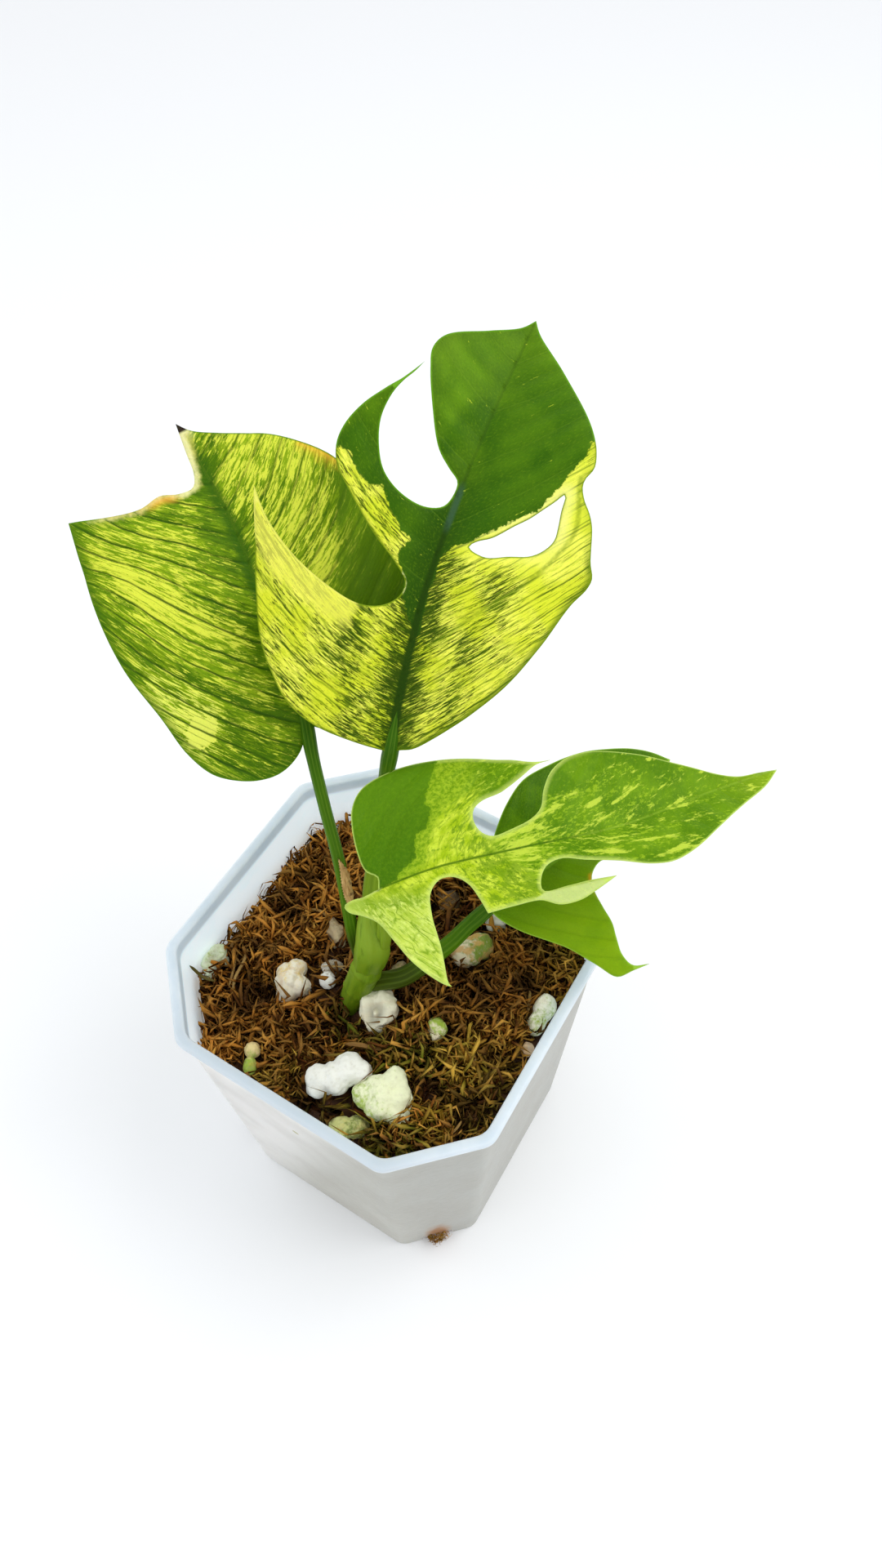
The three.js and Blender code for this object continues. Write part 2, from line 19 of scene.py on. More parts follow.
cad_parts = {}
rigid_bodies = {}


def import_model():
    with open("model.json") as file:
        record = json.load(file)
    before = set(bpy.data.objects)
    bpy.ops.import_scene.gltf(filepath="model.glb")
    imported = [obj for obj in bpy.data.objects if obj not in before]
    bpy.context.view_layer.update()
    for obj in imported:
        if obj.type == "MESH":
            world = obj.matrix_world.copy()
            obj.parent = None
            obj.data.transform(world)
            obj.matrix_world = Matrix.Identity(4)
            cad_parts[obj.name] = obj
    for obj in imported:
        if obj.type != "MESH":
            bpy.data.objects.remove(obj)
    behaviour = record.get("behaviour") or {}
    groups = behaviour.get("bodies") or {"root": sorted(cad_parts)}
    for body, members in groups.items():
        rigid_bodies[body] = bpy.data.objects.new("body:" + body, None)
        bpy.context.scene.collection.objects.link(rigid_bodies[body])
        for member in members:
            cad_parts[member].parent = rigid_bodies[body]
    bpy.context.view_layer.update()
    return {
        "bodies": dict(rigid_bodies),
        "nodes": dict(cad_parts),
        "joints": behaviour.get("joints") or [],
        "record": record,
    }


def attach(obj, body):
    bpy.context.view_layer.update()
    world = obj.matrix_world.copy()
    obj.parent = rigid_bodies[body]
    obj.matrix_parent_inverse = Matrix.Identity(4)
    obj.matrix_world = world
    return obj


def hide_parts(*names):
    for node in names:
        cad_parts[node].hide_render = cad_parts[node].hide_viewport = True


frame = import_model()
MM = 0.001

# %% [markdown]
# ## Camera, light and floor
# The object is seen from 55 degrees above and a little to the right, from a third of a metre away. A camera
# could be aimed with a constraint, but a plain matrix of its three directions is exact and has nothing live
# in it. A bright even sky gives the washed-out, almost shadowless look of a light tent, and one large lamp
# gives the leaves a side that is brighter.

# %% Camera
AZIMUTH, ELEVATION, ROLL = (math.radians(a) for a in (32.532, 55.026, -1.4535))
EYE = Vector((72.849, -88.243, 327.927)) * MM
PICTURE_PIXELS = 1920  # the picture's height
FOCAL_PIXELS = 1301.736  # the focal length in its pixels

back = Vector((
    math.sin(AZIMUTH) * math.cos(ELEVATION), -math.cos(AZIMUTH) * math.cos(ELEVATION), math.sin(ELEVATION)
))
level = Vector((0, 0, 1)).cross(back).normalized()
upward = back.cross(level)
right = math.cos(ROLL) * level + math.sin(ROLL) * upward
upward = -math.sin(ROLL) * level + math.cos(ROLL) * upward
lens = bpy.data.cameras.new("camera")
lens.lens = FOCAL_PIXELS * lens.sensor_width / PICTURE_PIXELS
lens.clip_start = 0.01
camera = bpy.data.objects.new("camera", lens)
camera.matrix_world = Matrix((right, upward, back)).transposed().to_4x4()
camera.location = EYE
bpy.context.scene.collection.objects.link(camera)
bpy.context.scene.camera = camera
print("lens, mm:", round(lens.lens, 2))

# %% [markdown]
# ## How a finish is written
# A shader made of nodes is a tree of small sums, and hundreds of calls that add and link nodes are hard to
# read. So a value in a tree is wrapped in a small class that knows how to add, stretch and limit itself: a
# line such as `(rib * 0.8, (50, 92, 4))` puts the nodes in by itself. A finish is then a ground colour and a
# list of thin coats on it, each with the share that it covers.

# %% A colour, and a value on its way through a tree
def paint(red, green, blue):
    """A colour as a paint chart gives it, 0 to 255 each, made linear for a shader."""
    linear = [c / 3294.6 if c < 10.3 else ((c / 255 + 0.055) / 1.055) ** 2.4 for c in (red, green, blue)]
    return (*linear, 1.0)


class Wire:
    """A value on its way through a node tree. A sum on it, such as a * b, puts a Math node into the tree."""

    def __init__(self, bench, socket):
        self.bench, self.socket = bench, socket

    def __add__(self, other):
        return self.bench.math("ADD", self, other)

    def __radd__(self, other):
        return self + other

    def __sub__(self, other):
        return self.bench.math("SUBTRACT", self, other)

    def __rsub__(self, other):
        return self.bench.math("SUBTRACT", other, self)

    def __mul__(self, other):
        """Times a number or a wire. Times a triple, it is a place, stretched along its three axes."""
        kind = self.bench.vector if isinstance(other, tuple) else self.bench.math
        return kind("MULTIPLY", self, other)

    def __abs__(self):
        return self.bench.math("ABSOLUTE", self)

    def rise(self, low, high, start=0, end=1):
        """From start to end, smoothly, while the value goes from low to high."""
        span = {"Value": self, "From Min": low, "From Max": high, "To Min": start, "To Max": end}
        return self.bench.wire("ShaderNodeMapRange", span, interpolation_type="SMOOTHSTEP")

    def fall(self, low, high, start=1, end=0):
        return self.rise(low, high, start, end)

    def noise(self, scale, detail=3, roughness=0.55, twist=0):
        inputs = {"Vector": self, "Scale": scale, "Detail": detail, "Roughness": roughness}
        return self.bench.wire("ShaderNodeTexNoise", {**inputs, "Distortion": twist})

    def parts(self):
        """The three numbers of a place."""
        split = self.bench.node("ShaderNodeSeparateXYZ", {0: self})
        return [Wire(self.bench, part) for part in split.outputs]

    def away(self, place):
        """How far this place is from another."""
        return self.bench.vector("DISTANCE", self, place, output="Value")

    def through(self, group, **inputs):
        """What a node group makes of this value, which goes into its first socket."""
        return self.bench.wire("ShaderNodeGroup", {0: self, **inputs}, node_tree=group)

    def coats(self, *coats):
        """This colour under thin coats of paint, each a (share, colour), the first one lowest."""
        colour = self
        for share, tone in coats:
            colour = self.bench.mix(share, colour, tone)
        return colour


# %% The bench that puts nodes into a tree
class Bench:
    """Puts nodes into one tree. Most calls give back the wire that the next one takes up."""

    def __init__(self, tree):
        self.tree = tree

    def link(self, wire, socket):
        self.tree.links.new(wire.socket, socket)

    def node(self, kind, inputs=None, **settings):
        made = self.tree.nodes.new(kind)
        for name, value in settings.items():
            setattr(made, name, value)
        for key, value in (inputs or {}).items():
            value = getattr(value, "socket", value)
            if isinstance(value, bpy.types.NodeSocket):
                self.tree.links.new(value, made.inputs[key])
            else:
                made.inputs[key].default_value = value
        return made

    def wire(self, kind, inputs=None, output=0, **settings):
        return Wire(self, self.node(kind, inputs, **settings).outputs[output])

    def math(self, operation, *values):
        return self.wire("ShaderNodeMath", dict(enumerate(values)), operation=operation)

    def vector(self, operation, *values, output=0):
        return self.wire("ShaderNodeVectorMath", dict(enumerate(values)), output, operation=operation)

    def mix(self, share, first, second):
        """Two colours, wires or paints, mixed: the first at share 0, the second at 1."""
        first, second = (paint(*tone) if isinstance(tone, tuple) else tone for tone in (first, second))
        return self.wire("ShaderNodeMix", {0: share, 6: first, 7: second}, 2, data_type="RGBA")

    def blend(self, share, first, second):
        return self.wire("ShaderNodeMix", {0: share, 2: first, 3: second}, data_type="FLOAT")

    def join(self, *numbers):
        return self.wire("ShaderNodeCombineXYZ", dict(enumerate(numbers)))

    def value(self, name):
        return self.wire("ShaderNodeAttribute", output="Fac", attribute_name=name)

    def place(self, name):
        return self.wire("ShaderNodeAttribute", output="Vector", attribute_name=name)

    def in_mm(self):
        """The place on the piece, in millimetres."""
        spot = self.wire("ShaderNodeTexCoord", output="Object")
        return self.wire("ShaderNodeVectorMath", {0: spot, "Scale": 1 / MM}, operation="SCALE")

    def finish(self, wire, socket="Base Color"):
        self.link(wire, self.shader.inputs[socket])

    def bump(self, height, distance_mm, strength=1):
        inputs = {"Height": height, "Distance": distance_mm * MM, "Strength": strength}
        self.finish(self.wire("ShaderNodeBump", inputs), "Normal")

    def give(self, wire):
        """Ends a group: the wire is what it gives."""
        self.link(wire, self.node("NodeGroupOutput").inputs[0])
        return self.tree


# %% New groups and materials, and fitting a finish to a piece
def new_group(name, inputs, output):
    """An empty shader group with one output: its bench, and a wire from each input."""
    tree = bpy.data.node_groups.new(name, "ShaderNodeTree")
    for socket, default in inputs.items():
        kind = "NodeSocketVector" if isinstance(default, tuple) else "NodeSocketFloat"
        tree.interface.new_socket(socket, in_out="INPUT", socket_type=kind).default_value = default
    tree.interface.new_socket(output, in_out="OUTPUT", socket_type="NodeSocketFloat")
    bench = Bench(tree)
    given = bench.node("NodeGroupInput").outputs
    return bench, [Wire(bench, given[socket]) for socket in inputs]


def new_material(name, **sockets):
    """A bench with a material on it, and plain values on the sockets of its one Principled BSDF."""
    material = bpy.data.materials.new(name)
    material.use_nodes = True
    bench = Bench(material.node_tree)
    bench.material, bench.shader = material, material.node_tree.nodes["Principled BSDF"]
    for socket, value in sockets.items():
        bench.shader.inputs[socket.replace("_", " ")].default_value = value
    return bench


def fit(piece, node, slot, finish=None):
    """Gives a piece its finish, and says which CAD node it stands for and what it is made of."""
    if finish:
        piece.data.materials.append(finish)
    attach(piece, "root")
    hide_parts(node)
    print(f"{piece.name}: stands for {node}, finish of the slot {slot}")


# %% Floor, sky and lamp
scene = bpy.context.scene
scene.view_settings.view_transform = "Standard"
scene.view_settings.look = "None"

floor_mesh = bpy.data.meshes.new("floor")
reach = 1.6
corners = [(-reach, -reach, 0), (reach, -reach, 0), (reach, reach, 0), (-reach, reach, 0)]
floor_mesh.from_pydata(corners, [], [(0, 1, 2, 3)])
floor = bpy.data.objects.new("floor", floor_mesh)
scene.collection.objects.link(floor)
bench = new_material("pale floor", Base_Color=paint(247, 248, 250), Roughness=0.85, Specular_IOR_Level=0.2)
floor_mesh.materials.append(bench.material)

world = bpy.data.worlds.new("light tent")
world.use_nodes = True
sky = world.node_tree.nodes["Background"].inputs
sky["Color"].default_value = (0.97, 0.985, 1.0, 1.0)
sky["Strength"].default_value = 0.93
scene.world = world


def add_lamp(name, place, aim, size, watts, colour):
    """A square soft box at a place, turned towards a point."""
    lamp = bpy.data.lights.new(name, "AREA")
    lamp.shape = "SQUARE"
    lamp.size = size
    lamp.energy = watts
    lamp.color = colour
    made = bpy.data.objects.new(name, lamp)
    made.location = place
    made.rotation_euler = (Vector(place) - Vector(aim)).to_track_quat("Z", "Y").to_euler()
    scene.collection.objects.link(made)


add_lamp("key light", (0.35, 0.25, 0.85), (0, 0, 0.12), 0.5, 2.6, (1.0, 0.99, 0.96))
add_lamp("fill light", (-0.5, -0.35, 0.6), (0, 0, 0.1), 0.6, 0.6, (0.93, 0.97, 1.0))

# %% [markdown]
# ## The leaves' form
# A leaf blade is a thin sheet: cutting it from a flat outline and bending it is how a paper model would be
# made, and it is how this one is made. The outline is drawn flat, with u along the midrib and v across it,
# in millimetres. The same two numbers then place each point in space: the rib is a smooth curve, the halves
# fold up from it and flatten again, and a few soft bulges make the sheet less stiff. A sculpted mesh could
# look as good, but its pattern could not follow the veins, and here u and v are kept on the mesh for that.

# %% Leaf numbers, in millimetres
# As in the CAD source, but for the hair-thin tips, the tip of the tall leaf's first left lobe and the margin
# of its second, and the way the left and the low stalk go.
LEAVES = {
    "leaf_tall": {
        "rib": [(-3, 12.5, 160), (-4.5, 19, 169), (-6.5, 31, 183), (-7.5, 45, 195.5), (-8.5, 60, 205),
                (-10.5, 80, 213)],
        "facing": (0.43, -0.75, 0.85), "fold": (22, 22), "curl": (-0.7, -0.7),
        "bulges": [(38, 33, 9, 4.5), (40, -26, 9, -2.5), (64, 19, 7, 3), (66, -20, 8, 2.5),
                   (80, 6, 9, -1.5)],
        "runs": [
            [(0, 0), (0.2, 2.3), (1.5, 8), (4.5, 16.5), (8.5, 22.5), (16.5, 27.8), (25.3, 30.6), (33, 32.6),
             (39.3, 34.9)],
            [(39.3, 34.9), (35.2, 30.7), (31.4, 25), (28.6, 18.3), (26.9, 11.5), (27.8, 7), (30.1, 4.5),
             (32.6, 4.3), (35.5, 7.5), (38.3, 12), (40.4, 14.9), (44.5, 20.1), (47, 22.9), (50.3, 24.4),
             (53.7, 24.2), (57.4, 22.5), (60.8, 19.7), (63.2, 17.7), (65.4, 16.5), (68, 15.4)],
            [(68, 15.4), (65.3, 16.2), (63, 17.3), (60.3, 18.3), (56.6, 18.6), (52.6, 17.2), (49.2, 14.8),
             (46.9, 10.6), (46.3, 5.5), (47.8, 2), (50.8, 1), (52.8, 1.3), (54.2, 3.6), (56.5, 6.9),
             (62, 10.8), (67.6, 14), (71.2, 15.3), (75, 14.3), (81.4, 7.4), (85.5, 2), (88, 0)],
            [(88, 0), (85.4, -2.1), (79, -9.2), (72.8, -15.4), (67.7, -19.3), (65.2, -20.8), (62.7, -21.6),
             (60.5, -20.9), (59.3, -21), (57.4, -22.2), (55.5, -24.1), (53.4, -25.5), (47.4, -27.7),
             (44.8, -29.1), (42.6, -28.9), (38.8, -27.3), (28, -24.1), (19, -20), (10.8, -13.9), (4.8, -8.3),
             (1.7, -4.5), (0.8, -2), (0, 0)],
        ],
        "holes": [[(42.4, -5.4), (41.6, -9), (43.2, -13.2), (44.6, -16.9), (46.4, -18.9), (48.6, -20),
                   (51, -19.8), (54, -19.2), (57, -18.7), (55.1, -17.4), (53, -15.9), (50.9, -14.4),
                   (48.6, -12.2), (45.3, -9), (43.7, -6.4)]],
        "petiole": [(-1, -5, 98), (-1.6, -4, 104), (-2.4, -1.8, 111), (-3.9, 2.2, 121), (-4.7, 8.6, 137),
                    (-4, 11.2, 151)],
        "radii": [1.7, 1.9, 1.9, 1.7, 1.6, 1.5, 1.5],
        "sweep": [(0.3, 0.008), (0.75, 0.012)],
    },
    "leaf_left": {
        "rib": [(-21, 9.5, 160), (-34, 17.5, 177.5), (-46, 25.5, 188), (-57, 31, 194.5), (-65.5, 35.5, 198)],
        "facing": (0.5, -0.55, 0.8), "fold": (16, 14), "curl": (-0.6, -0.6),
        "bulges": [(55, 26, 9, 3), (0, 16, 10, -3)],
        "runs": [
            [(0, 0), (-4.6, 3.3), (-7, 7.4), (-7.5, 11.1), (-6.4, 16), (-3, 21.2), (2.8, 24.3), (11.4, 26.2),
             (22.4, 29.2), (33.5, 30.2), (46.8, 29), (54.1, 27)],
            [(54.1, 27), (52.5, 20.5), (51.7, 14.2), (52.5, 9.8), (51.4, 6.5), (51.4, 3.4), (53.8, 1.9),
             (58.5, 1.2), (65.2, 0.2)],
            [(65.2, 0.2), (62, -2), (58.2, -6.7), (53.8, -13.5), (49.2, -18.6), (43.8, -23.8),
             (39.4, -26.1), (33.2, -28.1), (26, -29), (20.2, -27.7), (14.4, -22.9), (7, -15.2), (0.6, -7.8),
             (-1.8, -3.4), (0, 0)],
        ],
        "holes": [],
        "petiole": [(-2.3, -7, 90), (-3.6, -5.4, 94), (-5.2, -4.2, 98.5), (-6.2, -3.9, 104),
                    (-6.6, -3.7, 115), (-9.5, -0.8, 131), (-13.4, 2.1, 145), (-17.8, 5.9, 156)],
        "radii": [1.7, 1.6, 1.5, 1.35, 1.35, 1.3, 1.3, 1.3],
        "sweep": [(0.55, 0.016), (0.5, 0.01)],
    },
    "leaf_front": {
        "rib": [(8, -10, 149), (16, -1, 151), (28, 10.5, 152), (42, 25, 151.5), (53.5, 43, 149),
                (63, 58, 146)],
        "facing": (0.1, -0.22, 1), "fold": (10, 28), "curl": (-0.8, -0.9),
        "bulges": [(3, 14, 9, -3), (6, -20, 8, -4), (34, 15, 6, 2)],
        "runs": [
            [(0, 0), (0.6, 2.3), (-1.2, 4.3), (-1.7, 8.6), (-1.1, 14.8), (0.2, 18.4), (3.6, 21.2),
             (9.5, 22.3), (16.3, 21.8), (24, 20.2), (30.8, 17.8), (33.8, 16.4), (36, 16), (38.6, 16.2)],
            [(38.6, 16.2), (35.4, 15.5), (32, 13.6), (27.9, 11.8), (23.6, 11), (21.6, 9.7), (21, 7.5),
             (21.8, 5), (23.8, 3.6), (27.7, 4.1), (32, 5.3), (34.3, 7), (35.8, 10.6), (38.4, 14),
             (43, 16.4), (51, 16.4), (60, 13), (67.3, 8), (74.5, 3.2), (79, 1.3), (84, 0.7), (88.5, 0)],
            [(88.5, 0), (83, -3.1), (74.7, -5.9), (66, -8.9), (58.2, -11.4), (53.5, -12), (50.2, -11),
             (45.4, -8.2), (39.4, -6), (35.6, -4.6), (32.6, -5.4), (30.6, -7.8), (29.9, -11.2), (35, -11.2),
             (39.2, -11), (43.6, -11.3)],
            [(43.6, -11.3), (38.9, -13.6), (36.1, -14.7), (32.3, -14.8), (28.7, -13), (24.2, -13),
             (19.2, -13.3)],
            [(19.2, -13.3), (18.4, -10), (17, -5.9), (14.8, -3.5), (12, -3.1), (9.5, -5.4), (8.3, -10.2),
             (7.9, -16.7), (6.9, -23.6), (7.3, -24.6)],
            [(7.3, -24.6), (6.3, -24), (4.2, -21.6), (1.8, -17.5), (0, -12.4), (-1.8, -7.8), (-4.1, -5.2),
             (-6.5, -3.2), (-7.1, -1.3), (-5.6, -0.5), (-3, -0.7), (0, 0)],
        ],
        "holes": [],
        "petiole": [(-0.6, -4.2, 99), (1.2, -2.9, 104.5), (4.1, -4.3, 122), (6.8, -8.3, 140)],
        "radii": [1.5, 1.6, 1.6, 1.4, 1.3], "under": (2.0, 1.9, 1.5, 1.2),
        "sweep": [(0.35, 0.03), (0.25, 0.012)],
    },
    "leaf_low": {
        "rib": [(20, 13, 116), (25, 23, 119), (30.5, 36.5, 121), (34.5, 54, 120.5), (38, 70, 118)],
        "facing": (0.35, -0.2, 1), "fold": (14, 12), "curl": (-0.9, -0.7),
        "bulges": [(20, -27, 8, 2.5)],
        "runs": [
            [(0, 0), (3.2, 5), (7.4, 9.9), (10.8, 12.8), (17, 16.8), (24.2, 19), (33.4, 17.7), (41, 15.1),
             (46.5, 12), (53.2, 7.8), (57.8, 3.9), (61, 0)],
            [(61, 0), (54.4, -3.8), (46.6, -9.2), (37, -12), (30.4, -9.2), (26.6, -6.6), (23.2, -7.6),
             (21.4, -10.4), (20.5, -14.8), (19.9, -18.7), (18.6, -21.9), (17.5, -25.4), (18, -28.7),
             (20.8, -30.8)],
            [(20.8, -30.8), (17.7, -29.8), (14, -28.8), (11.9, -24.6), (9, -17.4), (6.8, -13.9), (2.9, -8.2),
             (0.6, -3.4), (0, 0)],
        ],
        "holes": [],
        "petiole": [(-1.9, -6.8, 89), (1.5, -5, 90.2), (6.9, -1.7, 94), (13.5, 4.8, 104), (17.2, 9.7, 111)],
        "radii": [2.3, 2.4, 2.2, 2, 1.8, 1.5],
        "sweep": [(0.6, 0.02), (0.6, 0.01)],
    },
}
VALLEY = 1.5  # over this distance from the rib the fold is rounded

# %% Smooth curves
def smooth_path(points, per_span=40):
    """An even Catmull-Rom curve through the points, as a long list of points."""
    p = np.array(points, float)
    p = np.vstack([2 * p[0] - p[1], p, 2 * p[-1] - p[-2]])
    t = np.linspace(0, 1, per_span, endpoint=False)[:, None]
    spans = [
        0.5 * (2 * b + (c - a) * t + (2 * a - 5 * b + 4 * c - d) * t**2 + (3 * b - a - 3 * c + d) * t**3)
        for a, b, c, d in zip(p, p[1:], p[2:], p[3:])
    ]
    return np.vstack([*spans, p[-2]])


def smooth_run(run, closed=False, per_span=24):
    """A curve through flat points that doesn't overshoot where they lie close together."""
    p = np.array(run, float)
    ends = (p[-1], p[0], p[1]) if closed else (2 * p[0] - p[1], None, 2 * p[-1] - p[-2])
    p = np.vstack([ends[0], p, ends[1], ends[2]] if closed else [ends[0], p, ends[2]])
    t = np.linspace(0, 1, per_span, endpoint=False)[:, None]
    spans = []
    for a, b, c, d in zip(p, p[1:], p[2:], p[3:]):
        before, here, after = (max(np.linalg.norm(y - x), 1e-4) ** 0.5 for x, y in ((a, b), (b, c), (c, d)))
        leave = ((b - a) / before - (c - a) / (before + here) + (c - b) / here) * here
        arrive = ((c - b) / here - (d - b) / (here + after) + (d - c) / after) * here
        spans.append(b + leave * t + (3 * (c - b) - 2 * leave - arrive) * t**2
                     + (2 * (b - c) + leave + arrive) * t**3)
    return np.vstack([*spans, p[-2]])


def along(path):
    """Distance from the start of a path to each of its points."""
    return np.concatenate([[0], np.cumsum(np.linalg.norm(np.diff(path, axis=0), axis=1))])


def spot_at(stops, arc, path):
    """The points of a path at these distances from its start."""
    return np.stack([np.interp(stops, arc, axis) for axis in path.T], axis=-1)


def unit(vectors):
    return vectors / np.linalg.norm(vectors, axis=-1, keepdims=True)


def respaced(path, step):
    """The path at even steps, without its last point."""
    distance = along(path)
    count = max(2, math.ceil(distance[-1] / step))
    return spot_at(np.linspace(0, distance[-1], count, endpoint=False), distance, path)


# %% The bent sheet
class Blade:
    """Places the flat points of a leaf in space."""

    def __init__(self, leaf):
        self.path = smooth_path(leaf["rib"])
        self.arc = along(self.path)
        self.length = self.arc[-1]
        self.look = unit(np.array(leaf["facing"]))
        self.leaf = leaf

    def middle(self, u, v):
        inside = np.clip(u, 0, self.length)
        after, spot, before = (spot_at(np.clip(inside + step, 0, self.length), self.arc, self.path)
                               for step in (0.2, 0, -0.2))
        tangent = unit(after - before)
        side = unit(np.cross(self.look, tangent))
        up = np.cross(tangent, side)
        fold, bend = (np.radians(np.where(v >= 0, *self.leaf[key])) for key in ("fold", "curl"))
        width = (np.sin(fold + bend * np.abs(v)) - np.sin(fold)) / bend
        rise = (np.cos(fold) - np.cos(fold + bend * np.hypot(v, VALLEY))) / bend
        for at_u, at_v, radius, height in self.leaf["bulges"]:
            rise = rise + height * np.exp(-((u - at_u) ** 2 + (v - at_v) ** 2) / radius**2)
        spot = spot + tangent * (u - inside)[..., None]
        return spot + side * (np.sign(v) * width)[..., None] + up * rise[..., None]

    def facing(self, u, v):
        ahead = self.middle(u + 0.5, v) - self.middle(u - 0.5, v)
        across = self.middle(u, v + 0.5) - self.middle(u, v - 0.5)
        return unit(np.cross(ahead, across))


# %% [markdown]
# ## Cutting the blade out
# The flat outline is filled with small, nearly equal triangles, so that the sheet bends smoothly and the
# quilting between the veins has points to stand on. Blender's constrained triangulation does it in one
# call. An n-gon with subdivisions would be shorter to write, but it makes slivers at the lobes.

# %% Flat outline to triangles
def distance_to(points, line, closed=True):
    """How far flat points are from a line of flat points."""
    starts, ends = (line, np.roll(line, -1, axis=0)) if closed else (line[:-1], line[1:])
    best = np.full(len(points), 1e9)
    for start, end in zip(starts, ends):
        way = end - start
        share = np.clip(((points - start) @ way) / max(way @ way, 1e-12), 0, 1)
        best = np.minimum(best, np.linalg.norm(points - start - share[:, None] * way, axis=1))
    return best


def within(points, line):
    """True for the flat points inside a closed line."""
    inside = np.zeros(len(points), bool)
    x, y = points.T
    for (ax, ay), (bx, by) in zip(line, np.roll(line, -1, axis=0)):
        if ay != by:
            inside ^= ((ay > y) != (by > y)) & (x < (bx - ax) * (y - ay) / (by - ay) + ax)
    return inside


def signed_distance(points, corners):
    """Distance to a zone's border: positive inside it."""
    line = np.array(corners, float)
    return np.where(within(points, line), 1, -1) * distance_to(points, line)


def fill(outline, holes, cell):
    """Points and triangles of a flat shape, in nearly equal cells."""
    rings = [outline, *holes]
    low, high = outline.min(axis=0), outline.max(axis=0)
    rows = np.arange(low[1], high[1], cell * math.sin(math.pi / 3))
    grid = np.array([
        (x, y) for k, y in enumerate(rows) for x in np.arange(low[0] + (k % 2) * cell / 2, high[0], cell)
    ])
    grid = grid[within(grid, outline)]
    for ring in rings:
        grid = grid[distance_to(grid, ring) > 0.55 * cell]
    for hole in holes:
        grid = grid[~within(grid, hole)]
    edges, first = [], 0
    for ring in rings:
        edges += [(first + k, first + (k + 1) % len(ring)) for k in range(len(ring))]
        first += len(ring)
    flat = np.vstack([*rings, grid])
    spots, _, faces, *_ = delaunay_2d_cdt([Vector(p) for p in flat], edges, [], 0, 1e-6, False)
    spots, faces = np.array([tuple(p) for p in spots]), np.array(faces)
    centres = spots[faces].mean(axis=1)
    keep = within(centres, outline)
    for hole in holes:
        keep &= ~within(centres, hole)
    faces = faces[keep]
    a, b, c = spots[faces].transpose(1, 0, 2)
    turned = (b - a)[:, 0] * (c - a)[:, 1] - (b - a)[:, 1] * (c - a)[:, 0] < 0
    faces[turned] = faces[turned][:, ::-1]
    return spots, faces


# %% A piece from points and faces
def store(mesh, key, values):
    """Keeps one number, or three, on each point of a mesh."""
    values = np.asarray(values, np.float32)
    kind, field = ("FLOAT", "value") if values.ndim == 1 else ("FLOAT_VECTOR", "vector")
    mesh.attributes.new(key, kind, "POINT").data.foreach_set(field, values.ravel())


def smoothed(mesh):
    mesh.polygons.foreach_set("use_smooth", [True] * len(mesh.polygons))


def new_piece(name, points_mm, faces, attributes=None):
    """A mesh object at the origin from points in millimetres, with named values on its points."""
    mesh = bpy.data.meshes.new(name)
    mesh.from_pydata((np.asarray(points_mm) * MM).tolist(), [], [tuple(map(int, f)) for f in faces])
    for key, values in (attributes or {}).items():
        store(mesh, key, values)
    smoothed(mesh)
    mesh.update()
    made = bpy.data.objects.new(name, mesh)
    scene.collection.objects.link(made)
    return made


# %% Thickness, margin and relief
CELL = 0.8
SHEET = {"middle": 0.42, "edge": 0.16, "taper": 1.2}
LATERALS = 5.6  # from one side vein to the next


def vein_place(leaf, u, v):
    """(across the side veins, along them, which half), in millimetres."""
    slope, bow = (np.where(v >= 0, leaf["sweep"][0][k], leaf["sweep"][1][k]) for k in (0, 1))
    across = u - slope * np.abs(v) - bow * v**2
    return np.stack([across, np.abs(v), np.where(v >= 0, 40.0, -40.0)], axis=-1)


def both_skins(faces, count):
    """Faces of a closed sheet: its upper skin, its under skin with the same points again, and its rim."""
    directed = {(int(a), int(b)) for f in faces for a, b in zip(f, np.roll(f, -1))}
    rim = [(b, a, a + count, b + count) for a, b in directed if (b, a) not in directed]
    return [*map(tuple, faces), *((f[0] + count, f[2] + count, f[1] + count) for f in faces), *rim]


